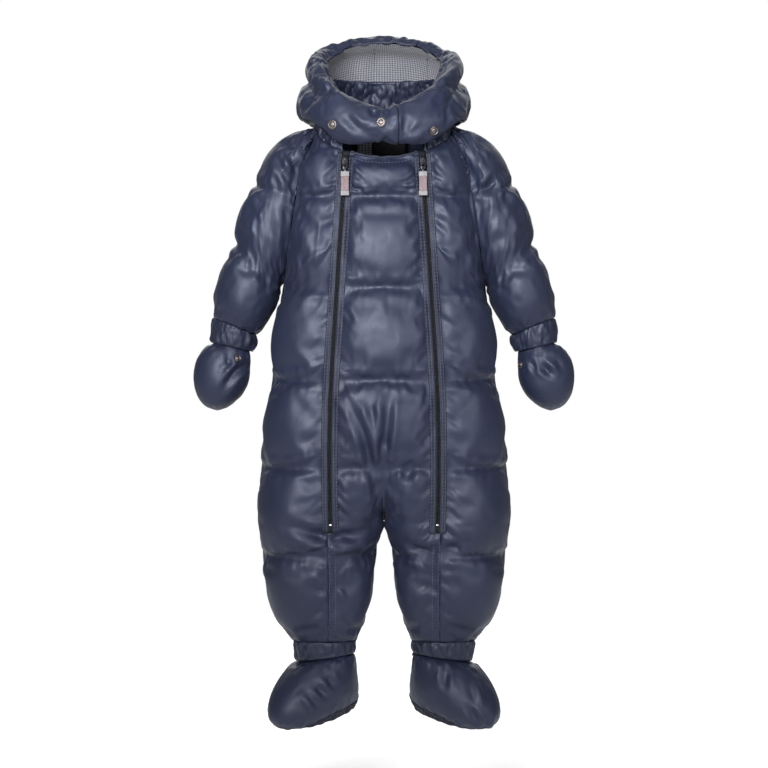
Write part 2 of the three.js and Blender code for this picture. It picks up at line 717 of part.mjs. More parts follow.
// A closed wall: outer points lifted by the filling, plain inner points and rims round every edge
function wallOf(piece, directions) {
  const faces = cloth.faces.filter((f) => f.piece === piece).map((f) => f.face);
  const moves = insets(faces, cloth.points, piece === "collar" ? COLLAR_GAP : SEAM_GAP);
  const ids = [...new Set(faces.flat())];
  const index = new Map(ids.map((id, i) => [id, i]));
  const at = (id, out) => {
    const p = cloth.points[id].clone().addScaledVector(directions[id], out);
    return moves.has(id) ? p.add(moves.get(id)) : p;
  };
  const positions = [...ids.map((id) => at(id, cloth.lifts[id])), ...ids.map((id) => at(id, -WALL))];
  const inner = ids.length;
  const triangles = [];
  const edges = new Set();
  for (const face of faces) {
    const [a, b, c] = face.map((id) => index.get(id));
    triangles.push([a, b, c], [a + inner, c + inner, b + inner]);
    for (const [p, q] of [[a, b], [b, c], [c, a]]) edges.add(p + "_" + q);
  }
  for (const edge of edges) {
    const [a, b] = edge.split("_").map(Number);
    if (edges.has(b + "_" + a)) continue;
    // neighbours split their facing rims alike
    if (ids[a] < ids[b]) triangles.push([b, a, a + inner], [b, a + inner, b + inner]);
    else triangles.push([b, a, b + inner], [a, a + inner, b + inner]);
  }
  return geometry(positions, triangles);
}

// The lining follows the inside of the hood from the facing down, round the back
function liningGeometry(rows, directions) {
  const columns = [];
  const round = 2 * HOOD_COLUMNS;
  for (let i = LINING_FIRST; i <= round - LINING_FIRST; i++) columns.push((i + HOOD_COLUMNS) % round);
  const facing = rows.at(-1);
  const follow = (r, c, out) => {
    const id = rows[r][c];
    return cloth.points[id].clone().addScaledVector(directions[id], -LINING_OFFSET - out);
  };
  const layer = (out) => {
    const spots = [];
    const first = columns.map((c) => {
      const [p, before] = [cloth.points[facing[c]], cloth.points[rows.at(-2)[c]]];
      const onwards = p.clone().sub(before).normalize();
      const inset = WALL - LINING_WALL / 2 - out;
      return onwards.multiplyScalar(2 * SEAM_GAP).add(p).addScaledVector(directions[facing[c]], -inset);
    });
    const crown = columns.map((c) => follow(LINING_ROWS[0], c, out));
    spots.push(first);
    spots.push(first.map((p, i) => p.clone().lerp(crown[i], 0.5).sub(V(0, 0, LINING_SAG))));
    for (const r of LINING_ROWS) spots.push(columns.map((c) => follow(r, c, out)));
    return spots.flat();
  };
  const width = columns.length;
  const positions = [...layer(0), ...layer(LINING_WALL)];
  const last = LINING_ROWS.length;
  const inner = (last + 2) * width;
  const triangles = [];
  const side = (a, b) => triangles.push([a, b, b + inner], [a, b + inner, a + inner]);
  for (let r = 0; r <= last; r++)
    for (let c = 0; c + 1 < width; c++) {
      const [a, b, d, e] = [r * width + c, r * width + c + 1, (r + 1) * width + c, (r + 1) * width + c + 1];
      triangles.push([a, d, e], [a, e, b]);
      triangles.push([a + inner, e + inner, d + inner], [a + inner, b + inner, e + inner]);
      if (r === 0) side(a, b);
      if (r === last) side(e, d);
      if (c === 0) side(d, a);
      if (c === width - 2) side(b, e);
    }
  return geometry(positions, triangles);
}

function solid(g) {
  const vertProperties = g.attributes.position.array;
  const triVerts = new Uint32Array(g.index.array);
  return new wasm.Manifold(new wasm.Mesh({ numProp: 3, vertProperties, triVerts }));
}

function fromSolid(made) {
  const { numProp, numVert, vertProperties, triVerts } = made.getMesh();
  const g = new THREE.BufferGeometry();
  const flat = new Float32Array(3 * numVert);
  for (let i = 0; i < numVert; i++) flat.set(vertProperties.subarray(i * numProp, i * numProp + 3), 3 * i);
  g.setAttribute("position", new THREE.BufferAttribute(flat, 3));
  g.setIndex(new THREE.BufferAttribute(triVerts, 1));
  g.computeVertexNormals();
  return g;
}

function joined(parts) {
  return fromSolid(parts.map((g) => solid(merged(g))).reduce((a, b) => a.add(b)));
}

// Extruded and lathed shapes with their shared corners made one
function merged(g) {
  const source = g.index ? g.toNonIndexed() : g;
  const spots = source.attributes.position;
  const found = new Map();
  const positions = [];
  const triangles = [];
  for (let i = 0; i < spots.count; i++) {
    const p = new THREE.Vector3().fromBufferAttribute(spots, i);
    const key = p.toArray().map((v) => Math.round(v * 1e4)).join("_");
    if (!found.has(key)) {
      found.set(key, positions.length);
      positions.push(p);
    }
    triangles.push(found.get(key));
  }
  const faces = [];
  for (let i = 0; i < triangles.length; i += 3) {
    const face = triangles.slice(i, i + 3);
    if (new Set(face).size === 3) faces.push(face);
  }
  return geometry(positions, faces);
}

// A flat plate with round corners, its back on z = 0, thickness along +Z
function plate(width, length, thickness, corner) {
  const [w, l, r] = [width / 2, length / 2, corner];
  const shape = new THREE.Shape();
  shape.absarc(w - r, l - r, r, 0, Math.PI / 2, false);
  shape.absarc(-w + r, l - r, r, Math.PI / 2, Math.PI, false);
  shape.absarc(-w + r, -l + r, r, Math.PI, 1.5 * Math.PI, false);
  shape.absarc(w - r, -l + r, r, 1.5 * Math.PI, 2 * Math.PI, false);
  return new THREE.ExtrudeGeometry(shape, { depth: thickness, bevelEnabled: false, curveSegments: 3 });
}

// Slider in its own frame: +Y up the zip, +Z off the cloth; its bar lies across
function sliderGeometry() {
  const { width, length, height, corner, post, bar, barHeight, barDrop } = SLIDER;
  const postAt = (x) => {
    const g = new THREE.BoxGeometry(post, 2 * bar, barHeight + bar);
    return g.translate(x, -barDrop, height + (barHeight - bar) / 2 + bar / 4);
  };
  const across = new THREE.CylinderGeometry(bar, bar, width - post, 8).rotateZ(Math.PI / 2);
  return joined([
    plate(width, length, height, corner),
    postAt(post - width / 2),
    postAt(width / 2 - post),
    across.translate(0, -barDrop, height + barHeight),
  ]);
}

// Pull in the frame of the slider's bar: an eye round the bar, a short arm and the tab
function pullGeometry() {
  const { width, length, thickness, corner, eye, play, eyeWidth, arm } = PULL;
  const section = new THREE.Shape();
  section.absarc(0, 0, eye, 0, 2 * Math.PI, false);
  const hole = new THREE.Path();
  hole.absarc(0, 0, SLIDER.bar + play, 0, 2 * Math.PI, true);
  section.holes.push(hole);
  const round = { depth: eyeWidth, bevelEnabled: false, curveSegments: 8 };
  const ringShape = new THREE.ExtrudeGeometry(section, round);
  ringShape.translate(0, 0, -eyeWidth / 2).rotateY(Math.PI / 2);
  const armLength = arm + 2 * PULL_JOIN;
  const armShape = new THREE.BoxGeometry(eyeWidth, armLength, thickness);
  armShape.translate(0, PULL_JOIN - eye - armLength / 2, 0);
  const tab = plate(width, length, thickness, corner);
  tab.translate(0, -eye - arm - length / 2, -thickness / 2);
  return joined([ringShape, armShape, tab]);
}

function snapGeometry() {
  const { radius, height } = SNAP;
  const profile = SNAP_PROFILE.map(({ out, up }) => new THREE.Vector2(out * radius, up * height));
  return merged(new THREE.LatheGeometry(profile, 16));
}

const materials = {
  shell: new THREE.MeshStandardMaterial({ color: 0x20263a, roughness: 0.42 }),
  cuff: new THREE.MeshStandardMaterial({ color: 0x1c2233, roughness: 0.5 }),
  lining: new THREE.MeshStandardMaterial({ color: 0x8a8f9c, roughness: 0.9 }),
  sole: new THREE.MeshStandardMaterial({ color: 0x161a26, roughness: 0.85 }),
  zip: new THREE.MeshStandardMaterial({ color: 0x0d0e12, roughness: 0.7 }),
  slider: new THREE.MeshStandardMaterial({ color: 0x101114, roughness: 0.35, metalness: 0.8 }),
  pull: new THREE.MeshStandardMaterial({ color: 0x8b7b80, roughness: 0.6 }),
  snap: new THREE.MeshStandardMaterial({ color: 0x8d8a8b, roughness: 0.35, metalness: 0.9 }),
};

function materialOf(name) {
  if (name.includes("sole")) return materials.sole;
  if (name.includes("cuff")) return materials.cuff;
  if (name.startsWith("zip")) return materials.zip;
  return materials.shell;
}

function mesh(name, g, material) {
  const made = new THREE.Mesh(g, material);
  made.name = name;
  return made;
}

const snowsuit = new THREE.Group();
const sides = { left: 1, right: -1 };
const halves = {};
const sleeves = {};
for (const [name, side] of Object.entries(sides)) {
  halves[name] = makeHalf(side);
  coverHalf(name, side, halves[name]);
}
for (const [name, side] of Object.entries(sides)) {
  sleeves[name] = makeSleeve(name, side, halves[name]);
  makeFoot(name, side, halves[name]);
}
makeCollar(halves, sleeves);
const hoodRows = makeHood();

const directions = normals();
for (const piece of new Set(cloth.faces.map((f) => f.piece)))
  snowsuit.add(mesh(piece, wallOf(piece, directions), materialOf(piece)));
snowsuit.add(mesh("hood_lining", liningGeometry(hoodRows, directions), materials.lining));

// Where a line from the front first meets a piece
function seat(pieceNames, x, z) {
  const ray = new THREE.Raycaster(V(x, -400, z), V(0, 1, 0));
  const hits = ray.intersectObjects(snowsuit.children.filter((m) => pieceNames.includes(m.name)));
  return { place: hits[0].point, out: hits[0].face.normal };
}

// Sliders lie on their zips, and the pulls hang from their bars
for (const [name, side] of Object.entries(sides)) {
  const x = side * read(ZIP_LINE, SLIDER_Z, "x", "z");
  const ends = [SLIDER_Z + SLIDER.length / 2, SLIDER_Z - SLIDER.length / 2];
  const [above, below] = ends.map((z) => seat(["zip_" + name], x, z).place);
  const lean = Math.atan2(above.y - below.y, above.z - below.z);
  const group = new THREE.Group();
  group.position.copy(above).lerp(below, 0.5);
  group.rotation.x = Math.PI / 2 - lean;
  const slider = mesh("slider_" + name, sliderGeometry(), materials.slider);
  slider.position.z = SLIDER.clear;
  group.add(slider);
  const pull = mesh("pull_" + name, pullGeometry(), materials.pull);
  pull.position.set(0, -SLIDER.barDrop, SLIDER.clear + SLIDER.height + SLIDER.barHeight);
  group.add(pull);
  snowsuit.add(group);
}

for (const [name, [x, z]] of Object.entries(SNAPS)) {
  const { place, out } = seat(["hood_left", "hood_right"], x, z);
  const snap = mesh(name, snapGeometry(), materials.snap);
  snap.position.copy(place).addScaledVector(out, 2 * SEAM_GAP);
  snap.quaternion.setFromUnitVectors(V(0, 1, 0), out);
  snowsuit.add(snap);
}

export default snowsuit;
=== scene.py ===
import math

import bmesh
import bpy
import numpy as np
from mathutils import Euler, Matrix, Vector, noise
from mathutils.bvhtree import BVHTree
from mathutils.kdtree import KDTree


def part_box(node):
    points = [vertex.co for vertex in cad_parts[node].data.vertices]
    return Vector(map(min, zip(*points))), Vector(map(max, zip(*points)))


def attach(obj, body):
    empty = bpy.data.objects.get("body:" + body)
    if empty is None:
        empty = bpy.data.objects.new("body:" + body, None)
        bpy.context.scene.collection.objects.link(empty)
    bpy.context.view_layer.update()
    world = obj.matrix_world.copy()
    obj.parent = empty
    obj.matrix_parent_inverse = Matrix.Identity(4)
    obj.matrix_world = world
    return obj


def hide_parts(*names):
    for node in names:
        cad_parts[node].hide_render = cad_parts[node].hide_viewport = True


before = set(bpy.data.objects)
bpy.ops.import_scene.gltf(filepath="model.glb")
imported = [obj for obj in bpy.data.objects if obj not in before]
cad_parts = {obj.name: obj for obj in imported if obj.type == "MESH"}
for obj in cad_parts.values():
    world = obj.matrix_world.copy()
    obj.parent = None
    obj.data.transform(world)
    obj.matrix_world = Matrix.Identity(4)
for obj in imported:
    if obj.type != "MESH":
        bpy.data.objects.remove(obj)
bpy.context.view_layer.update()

bl_info = {
    "name": "Baby snowsuit",
    "version": (1, 0, 0),
    "blender": (4, 5, 0),
    "location": "View3D > Sidebar > Snowsuit",
    "description": "Dresses the solids of a quilted baby snowsuit as padded nylon, zips and snaps",
    "category": "Add Mesh",
}

MM = 0.001
SIDES = {"left": 1, "right": -1}

# Heights of the quilt lines of body and legs, in millimetres, as in the solids
QUILT_Z = (-57, -160, -265, -364, -464, -563)
SLIDER_Z = -20
ZIP_LINE = ((-5, 43), (-62, 46.5), (-119, 50.5), (-175, 54), (-231, 57.5), (-287, 60.5), (-343, 61.5),
            (-399, 61), (-437, 60), (-464, 58.5), (-520, 58), (-563, 60))

# Folds laid on the front, listed one by one: depth, half width, then x and z of each point, in millimetres.
# A negative depth stands up as a ridge.
FRONT_FOLDS = (
    (4.5, 5, -39, -291, -24, -323, -10, -381, -6, -402), (4.5, 5, 6, -282, 3, -317, -2, -365),
    (3, 5, 29, -353, 25, -381), (2.5, 4, -16, -291, -12, -308),
    (4, 7, -108, -428, -80, -438, -54, -443, -30, -438, -14, -432),
    (-3, 6, -100, -440, -76, -452, -52, -455, -24, -448),
    (4, 7, 15, -445, 30, -455, 48, -461, 72, -457, 92, -449), (-3, 6, 20, -458, 46, -473, 80, -466),
    (-2.5, 4, -72, -474, -60, -484), (-3, 5, -79, -489, -60, -499), (-2.5, 4, -76, -506, -59, -512),
    (-2, 4, -70, -520, -58, -523), (-2, 4, -52, -500, -44, -513), (-3.5, 5, 57, -476, 74, -490),
    (-2.5, 4, 57, -492, 70, -503), (-2, 4, 54, -507, 66, -514), (-2, 4, 44, -488, 53, -492),
    (4, 5, -112, 2, -101, -18, -97, -42), (3, 5, -121, -14, -110, -34, -102, -50),
    (-3, 4, -112, -62, -101, -74), (3, 6, -136, -84, -118, -97, -108, -118),
    (4, 5, 104, -49, 119, -48, 131, -30), (-3, 5, 106, -60, 124, -56, 140, -44),
    (-2.5, 5, 108, -86, 120, -74, 128, -58), (3, 6, 112, -118, 128, -106, 150, -102),
    (3, 4, -154, -244, -170, -256, -184, -276), (-2, 4, -172, -246, -180, -258),
    (2, 3, -178, -238, -176, -250), (3, 4, 178, -246, 190, -258), (-2, 4, 190, -244, 197, -256),
    (2, 3, 168, -243, 172, -254), (3, 4, -77, -610, -66, -622), (-2.5, 4, -92, -622, -80, -640),
    (2, 4, -64, -600, -58, -612), (3, 4, 96, -634, 106, -652), (-2.5, 4, 104, -606, 110, -630),
    (3, 4, 70, -596, 68, -612), (2, 3, 118, -646, 112, -660), (-2, 5, -84, 20, -70, 6, -52, -2),
    (2.5, 5, -46, 33, -30, 16, -12, 10), (2.5, 4, -16, 40, -8, 30), (2.5, 5, 30, 34, 22, 16, 16, 4),
    (-2, 4, 44, 12, 30, 2), (3, 4, 80, 40, 92, 28), (3, 4, -80, 56, -92, 40),
    (2, 4, -84, 66, -66, 62, -50, 64), (2, 4, 52, 68, 68, 66, 84, 72),
)


def length_field(name, description, default):
    return bpy.props.FloatProperty(name=name, description=description, default=default, unit="LENGTH")


def colour_field(name, description, default):
    return bpy.props.FloatVectorProperty(name=name, description=description, subtype="COLOR", default=default)


class SnowsuitSizes(bpy.types.PropertyGroup):
    """Sizes in metres"""
    wall: length_field("Wall", "Padded cloth at its seams", 0.003)
    swell: length_field("Swell", "Furthest that the filling pushes the cloth out", 0.007)
    pucker: length_field("Pucker", "Height of the small puckers at seams", 0.0016)
    stitch: length_field("Stitch", "Length of one stitch", 0.0026)
    stitch_gap: length_field("Stitch gap", "Cloth between stitches", 0.0012)
    thread: length_field("Thread", "Half thickness of the thread", 0.0003)
    tooth: length_field("Tooth pitch", "Step from tooth to tooth", 0.0016)
    check: length_field("Check", "Repeat of the lining's check", 0.003)


class SnowsuitColours(bpy.types.PropertyGroup):
    """Colours of cloth, zips and pulls"""
    shell: colour_field("Shell", "Nylon", (0.009, 0.012, 0.0285))
    thread: colour_field("Thread", "Sewing thread", (0.06, 0.068, 0.11))
    check_dark: colour_field("Check dark", "Lining's dark yarn", (0.036, 0.04, 0.065))
    check_light: colour_field("Check light", "Lining's light yarn", (0.21, 0.21, 0.22))
    tape: colour_field("Tape", "Zip tape and teeth", (0.0045, 0.005, 0.007))
    sole: colour_field("Sole", "Grip cloth", (0.016, 0.018, 0.03))
    leather: colour_field("Pull", "Middle of the zip pulls", (0.115, 0.08, 0.09))
    band: colour_field("Band", "Ends of the zip pulls", (0.15, 0.145, 0.155))


# Materials

class Tree:
    """A material's node tree, built a node at a time."""

    def __init__(self, name):
        self.material = bpy.data.materials.new(name)
        self.material.use_nodes = True
        self.tree = self.material.node_tree
        self.tree.nodes.clear()
        self.shader = self.add("ShaderNodeBsdfPrincipled")
        output = self.add("ShaderNodeOutputMaterial")
        self.link(self.shader.outputs[0], output.inputs["Surface"])
        self.place = self.add("ShaderNodeTexCoord")

    def add(self, kind, values=None, **settings):
        made = self.tree.nodes.new(kind)
        for key, value in settings.items():
            setattr(made, key, value)
        for key, value in (values or {}).items():
            if isinstance(value, bpy.types.NodeSocket):
                self.link(value, made.inputs[key])
            else:
                made.inputs[key].default_value = value
        return made

    def link(self, start, end):
        self.tree.links.new(start, end)

    def set(self, **values):
        for key, value in values.items():
            socket = self.shader.inputs[key.replace("_", " ")]
            if isinstance(value, bpy.types.NodeSocket):
                self.link(value, socket)
            else:
                socket.default_value = value

    def math(self, operation, first, second=0.0):
        return self.add("ShaderNodeMath", {0: first, 1: second}, operation=operation).outputs[0]

    def mapped(self, scale, source="Object"):
        values = {"Vector": self.place.outputs[source], "Scale": scale}
        return self.add("ShaderNodeMapping", values).outputs[0]

    def noise(self, scale, detail=3.0, vector=None):
        values = {"Vector": vector or self.place.outputs["Object"], "Scale": scale, "Detail": detail}
        return self.add("ShaderNodeTexNoise", values).outputs["Fac"]

    def range(self, value, low, high, start=0.3, end=0.7):
        values = {"Value": value, "From Min": start, "From Max": end, "To Min": low, "To Max": high}
        return self.add("ShaderNodeMapRange", values).outputs["Result"]

    def mix(self, share, first, second):
        made = self.add("ShaderNodeMix", {"Factor": share}, data_type="RGBA")
        for index, value in ((6, first), (7, second)):
            if isinstance(value, bpy.types.NodeSocket):
                self.link(value, made.inputs[index])
            else:
                made.inputs[index].default_value = value
        return made.outputs[2]

    def bump(self, height, strength, distance, normal=None):
        values = {"Height": height, "Strength": strength, "Distance": distance}
        if normal:
            values["Normal"] = normal
        return self.add("ShaderNodeBump", values).outputs["Normal"]

    def weave(self, step):
        """Threads crossing at a step in metres."""
        threads = []
        for scale, way in (((1, 1, 0), "DIAGONAL"), ((0, 0, 1), "Z")):
            values = {"Vector": self.mapped(scale), "Scale": 1 / step / math.tau * 2}
            threads.append(self.add("ShaderNodeTexWave", values, bands_direction=way).outputs["Fac"])
        return self.math("MAXIMUM", *threads)


def rgba(colour, factor=1.0):
    return (*(min(1.0, channel * factor) for channel in colour), 1.0)


def nylon(name, colour, shine=1.0):
    tree = Tree(name)
    cloud = tree.range(tree.noise(14), 0, 1)
    tree.set(
        Base_Color=tree.mix(cloud, rgba(colour, 0.9), rgba(colour, 1.12)),
        Roughness=tree.range(tree.noise(60), 0.47 / shine, 0.57 / shine),
        Specular_IOR_Level=0.42,
        Specular_Tint=(0.8, 0.85, 1, 1),
        Sheen_Weight=0.03,
        Sheen_Roughness=0.45,
        Sheen_Tint=(0.62, 0.66, 0.85, 1),
    )
    wrinkle = tree.noise(170, 4, tree.mapped((1, 1, 0.55)))
    soft = tree.bump(wrinkle, 0.22, 0.0009)
    tree.set(Normal=tree.bump(tree.weave(0.0007), 0.06, 0.0001, soft))
    return tree.material


def check_cloth(name, dark, light, repeat):
    """A small check of light and dark yarns, crossing on the piece's own map."""
    tree = Tree(name)
    parts = tree.add("ShaderNodeSeparateXYZ", {0: tree.mapped((1 / repeat, 1 / repeat, 1), "UV")})
    u_step, v_step = (tree.math("GREATER_THAN", tree.math("FRACT", parts.outputs[i]), 0.5) for i in (0, 1))
    doubled = [tree.math("MULTIPLY", parts.outputs[i], 2.0) for i in (0, 1)]
    twill = tree.math("FRACT", tree.math("ADD", *doubled))
    over = tree.math("GREATER_THAN", twill, 0.5)
    same = tree.math("MULTIPLY", tree.math("ADD", u_step, v_step), 0.5)
    off_middle = tree.math("ABSOLUTE", tree.math("SUBTRACT", same, 0.5))
    crossing = tree.math("SUBTRACT", 1.0, tree.math("MULTIPLY", off_middle, 2.0))
    share = tree.math("ADD", same, tree.math("MULTIPLY", crossing, tree.math("SUBTRACT", over, 0.5)))
    worn = tree.range(tree.noise(900), 0.86, 1.0)
    mixed = tree.mix(share, rgba(dark), rgba(light))
    tree.set(
        Base_Color=tree.mix(worn, rgba(dark, 1.6), mixed),
        Roughness=tree.range(tree.noise(300), 0.82, 0.95),
        Sheen_Weight=0.15,
        Normal=tree.bump(tree.noise(1400), 0.3, 0.0002),
    )
    return tree.material


def woven(name, colour, step=0.0008, strength=0.4, low=0.68, high=0.85):
    tree = Tree(name)
    threads = tree.weave(step)
    tree.set(
        Base_Color=tree.mix(tree.range(threads, 0, 1, 0, 1), rgba(colour, 0.7), rgba(colour, 1.35)),
        Roughness=tree.range(tree.noise(400), low, high),
        Specular_IOR_Level=0.16,
        Normal=tree.bump(threads, strength, 0.0002),
    )
    return tree.material


def grip_cloth(name, colour):
    """Dark sole cloth with small raised grip dots."""
    tree = Tree(name)
    dots = tree.add("ShaderNodeTexVoronoi", {"Vector": tree.place.outputs["Object"], "Scale": 260,
                                             "Randomness": 0.25}).outputs["Distance"]
    spot = tree.range(dots, 1, 0, 0.2, 0.42)
    tree.set(
        Base_Color=tree.mix(spot, rgba(colour, 0.7), rgba(colour, 1.5)),
        Specular_IOR_Level=0.25,
        Roughness=tree.range(spot, 0.85, 0.55, 0, 1),
        Normal=tree.bump(spot, 0.5, 0.0005),
    )
    return tree.material


def metal(name, colour, rough, worn):
    tree = Tree(name)
    scratch = tree.noise(700, 5, tree.mapped((1, 1, 3)))
    patina = tree.range(tree.noise(420), 0, 1)
    tree.set(
        Base_Color=tree.mix(patina, rgba(colour), rgba(colour, worn)),
        Metallic=1.0,
        Roughness=tree.range(scratch, rough, rough + 0.16),
        Normal=tree.bump(scratch, 0.12, 0.0002),
    )
    return tree.material


def leather(name, colour):
    tree = Tree(name)
    grain = tree.add("ShaderNodeTexVoronoi", {"Vector": tree.place.outputs["Object"], "Scale": 1500},
                     feature="DISTANCE_TO_EDGE").outputs["Distance"]
    tone = tree.range(tree.noise(350), 0, 1)
    tree.set(
        Base_Color=tree.mix(tone, rgba(colour, 0.82), rgba(colour, 1.18)),
        Roughness=tree.range(tree.noise(900), 0.5, 0.66),
        Normal=tree.bump(grain, 0.3, 0.0002),
    )
    return tree.material


MADE = {}


def material_for(key):
    """The material of a finish, made once."""
    colours = bpy.context.scene.snowsuit_colours
    recipes = {
        "shell": lambda: nylon("navy_nylon", colours.shell),
        # painted shade: the collar and the wrist and ankle bands use the shell's nylon darkened to 0.85 of its
        # colour
        "cuff": lambda: nylon("gathered_nylon", [c * 0.85 for c in colours.shell]),
        "lining": lambda: check_cloth("checked_lining", colours.check_dark, colours.check_light,
                                      bpy.context.scene.snowsuit_sizes.check),
        "tape": lambda: woven("zip_tape_weave", colours.tape, 0.001, 0.5, 0.6, 0.75),
        "teeth": lambda: woven("zip_teeth_plastic", colours.tape, 0.0006, 0.2, 0.3, 0.42),
        # painted shade: the flaps beside the zips and the neck piping use the shell's nylon at half its
        # brightness, darker as the shade along the zips
        "flap": lambda: nylon("stitched_flap_nylon", [c * 0.5 for c in colours.shell], 0.8),
        "thread": lambda: woven("sewing_thread", colours.thread, 0.0005, 0.3, 0.5, 0.65),
        "sole": lambda: grip_cloth("grip_cloth", colours.sole),
        "label": lambda: woven("label_weave", (0.006, 0.006, 0.008), 0.0006, 0.3, 0.55, 0.7),
        "slider": lambda: metal("black_enamel", (0.02, 0.02, 0.024), 0.26, 1.6),
        "snap": lambda: metal("aged_silver", (0.2, 0.175, 0.18), 0.4, 0.45),
        "stop": lambda: metal("bright_stop", (0.75, 0.75, 0.77), 0.2, 0.8),
        "leather": lambda: leather("pull_leather", colours.leather),
        "band": lambda: leather("pull_band", colours.band),
    }
    if key not in MADE:
        MADE[key] = recipes[key]()
    return MADE[key]


# Mesh helpers

def vectors_of(mesh, key):
    flat = np.empty(3 * len(mesh.vertices), np.float32)
    mesh.vertices.foreach_get(key, flat)
    return flat.reshape(-1, 3).astype(float)


def coordinates(mesh):
    return vectors_of(mesh, "co")


def directions(mesh):
    return vectors_of(mesh, "normal")


def set_coordinates(mesh, places):
    mesh.vertices.foreach_set("co", places.astype(np.float32).ravel())
    mesh.update()


def values_of(mesh, name):
    values = np.zeros(len(mesh.vertices), np.float32)
    mesh.attributes[name].data.foreach_get("value", values)
    return values


def deselect():
    for other in bpy.context.selected_objects:
        other.select_set(False)


def only(piece):
    """Makes piece the active and only selected object."""
    deselect()
    bpy.context.view_layer.objects.active = piece
    piece.select_set(True)


def apply_modifier(piece, modifier):
    only(piece)
    bpy.ops.object.modifier_apply(modifier=modifier.name)


def subdivide(piece, levels):
    modifier = piece.modifiers.new("Rounder", "SUBSURF")
    modifier.levels = modifier.render_levels = levels
    modifier.boundary_smooth = "PRESERVE_CORNERS"
    apply_modifier(piece, modifier)


def thicken(piece, thickness):
    modifier = piece.modifiers.new("Wall", "SOLIDIFY")
    modifier.thickness = thickness
    modifier.offset = -1
    modifier.use_even_offset = False
    apply_modifier(piece, modifier)


def object_of(name, mesh, key):
    """A new piece of the garment with its finish."""
    piece = bpy.data.objects.new(name, mesh)
    bpy.context.scene.collection.objects.link(piece)
    mesh.materials.clear()
    mesh.materials.append(material_for(key))
    mesh.shade_smooth()
    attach(piece, "garment")
    return piece


def mesh_of(name, places, faces):
    mesh = bpy.data.meshes.new(name)
    mesh.from_pydata([tuple(p) for p in places], [], faces)
    mesh.validate()
    return mesh


def grid_faces(rows, width):
    """The faces between points that are listed row by row."""
    return [(r * width + c, r * width + c + 1, (r + 1) * width + c + 1, (r + 1) * width + c)
            for r in range(rows - 1) for c in range(width - 1)]


def tree_of(*names):
    """The surface of several nodes or pieces, for finding a place on them."""
    made = bmesh.new()
    for name in names:
        made.from_mesh(bpy.data.objects[name].data)
    surface = BVHTree.FromBMesh(made)
    made.free()
    return surface


def seat(surface, x, z, start=-0.4):
    """Where a line to the back first meets a surface, and the outward direction there."""
    place, normal, _, _ = surface.ray_cast(Vector((x, start, z)), Vector((0, 1, 0)))
    return place, normal


def zip_x(z):
    """Distance of a zip from the centre at a height, both in metres."""
    heights, spans = zip(*((height * MM, span * MM) for height, span in reversed(ZIP_LINE)))
    return float(np.interp(z, heights, spans))


# Padded cloth

# An edge that turns out by more than RIM_ANGLE ends the outer side.
# One that turns in by LINE_ANGLE is a quilt line.
RIM_ANGLE = math.radians(46)
LINE_ANGLE = math.radians(-13)
LINE_CREASE = 0.9
# How far a quilt line of the solids strays from its height
LINE_PLAY = 0.0008
# Size and rise of the hidden strips, against the edge that they carry on
MITTEN_TUCK = (0.88, 0.009)
COLLAR_TUCK = (0.96, -0.009)


def extend(made, rim, share, rise):
    """Adds a hidden strip of cloth at an open edge, drawn in and raised or lowered."""
    middle = sum((vert.co for edge in rim for vert in edge.verts), Vector()) / (2 * len(rim))
    grown = bmesh.ops.extrude_edge_only(made, edges=rim)["geom"]
    for vert in (item for item in grown if isinstance(item, bmesh.types.BMVert)):
        vert.co = middle + (vert.co - middle) * share + Vector((0, 0, rise))


def tuck(made, node):
    """Carries the upper edge of a mitten or bootie on into the band above it."""
    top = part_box(node)[1].z
    rim = [edge for edge in made.edges if edge.is_boundary and min(v.co.z for v in edge.verts) > top - 0.02]
    extend(made, rim, *MITTEN_TUCK)


def sew_in(made):
    """Carries the lower edge of the collar on into the neck of the body."""
    rim = []
    for edge in made.edges:
        if edge.is_boundary:
            away = edge.link_faces[0].calc_center_median() - (edge.verts[0].co + edge.verts[1].co) / 2
            if away.z > 0.6 * away.length:
                rim.append(edge)
    extend(made, rim, *COLLAR_TUCK)


def skin(node, name, key):
    """The outer side of a node's wall in quads, its quilt lines creased and marked as line."""
    made = bmesh.new()
    made.from_mesh(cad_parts[node].data)
    bmesh.ops.remove_doubles(made, verts=made.verts[:], dist=1e-5)
    waiting = set(made.faces)
    groups = []
    while waiting:
        stack = [waiting.pop()]
        group = list(stack)
        while stack:
            face = stack.pop()
            for edge in face.edges:
                if len(edge.link_faces) != 2 or edge.calc_face_angle_signed(0) > RIM_ANGLE:
                    continue
                for other in edge.link_faces:
                    if other in waiting:
                        waiting.remove(other)
                        group.append(other)
                        stack.append(other)
        groups.append(group)
    outer = set(max(groups, key=lambda group: sum(face.calc_area() for face in group)))
    bmesh.ops.delete(made, geom=[face for face in made.faces if face not in outer], context="FACES")
    loose = [vert for vert in made.verts if not vert.link_faces]
    bmesh.ops.delete(made, geom=loose, context="VERTS")
    if node.startswith(("mitten", "bootie_left", "bootie_right")):
        tuck(made, node)
    if node == "collar":
        sew_in(made)
    crease = made.edges.layers.float.new("crease_edge")
    line = made.verts.layers.float.new("line")
    rim = made.verts.layers.float.new("rim")
    heights = [z * MM for z in QUILT_Z] if node.startswith(("front", "back")) else []
    quilted = not node.startswith(("sleeve_cuff", "ankle_cuff", "collar"))
    for edge in made.edges:
        level = any(all(abs(vert.co.z - z) < LINE_PLAY for vert in edge.verts) for z in heights)
        if len(edge.link_faces) == 2 and quilted and (level or edge.calc_face_angle_signed(0) < LINE_ANGLE):
            edge.seam = True
            edge[crease] = LINE_CREASE
            for vert in edge.verts:
                vert[line] = 1
        if edge.is_boundary:
            for vert in edge.verts:
                vert[line] = vert[rim] = 1
    bmesh.ops.join_triangles(made, faces=made.faces[:], cmp_seam=True, angle_face_threshold=math.radians(60),
                             angle_shape_threshold=math.radians(80))
    mesh = bpy.data.meshes.new(name)
    made.to_mesh(mesh)
    made.free()
    piece = object_of(name, mesh, key)
    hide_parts(node)
    return piece


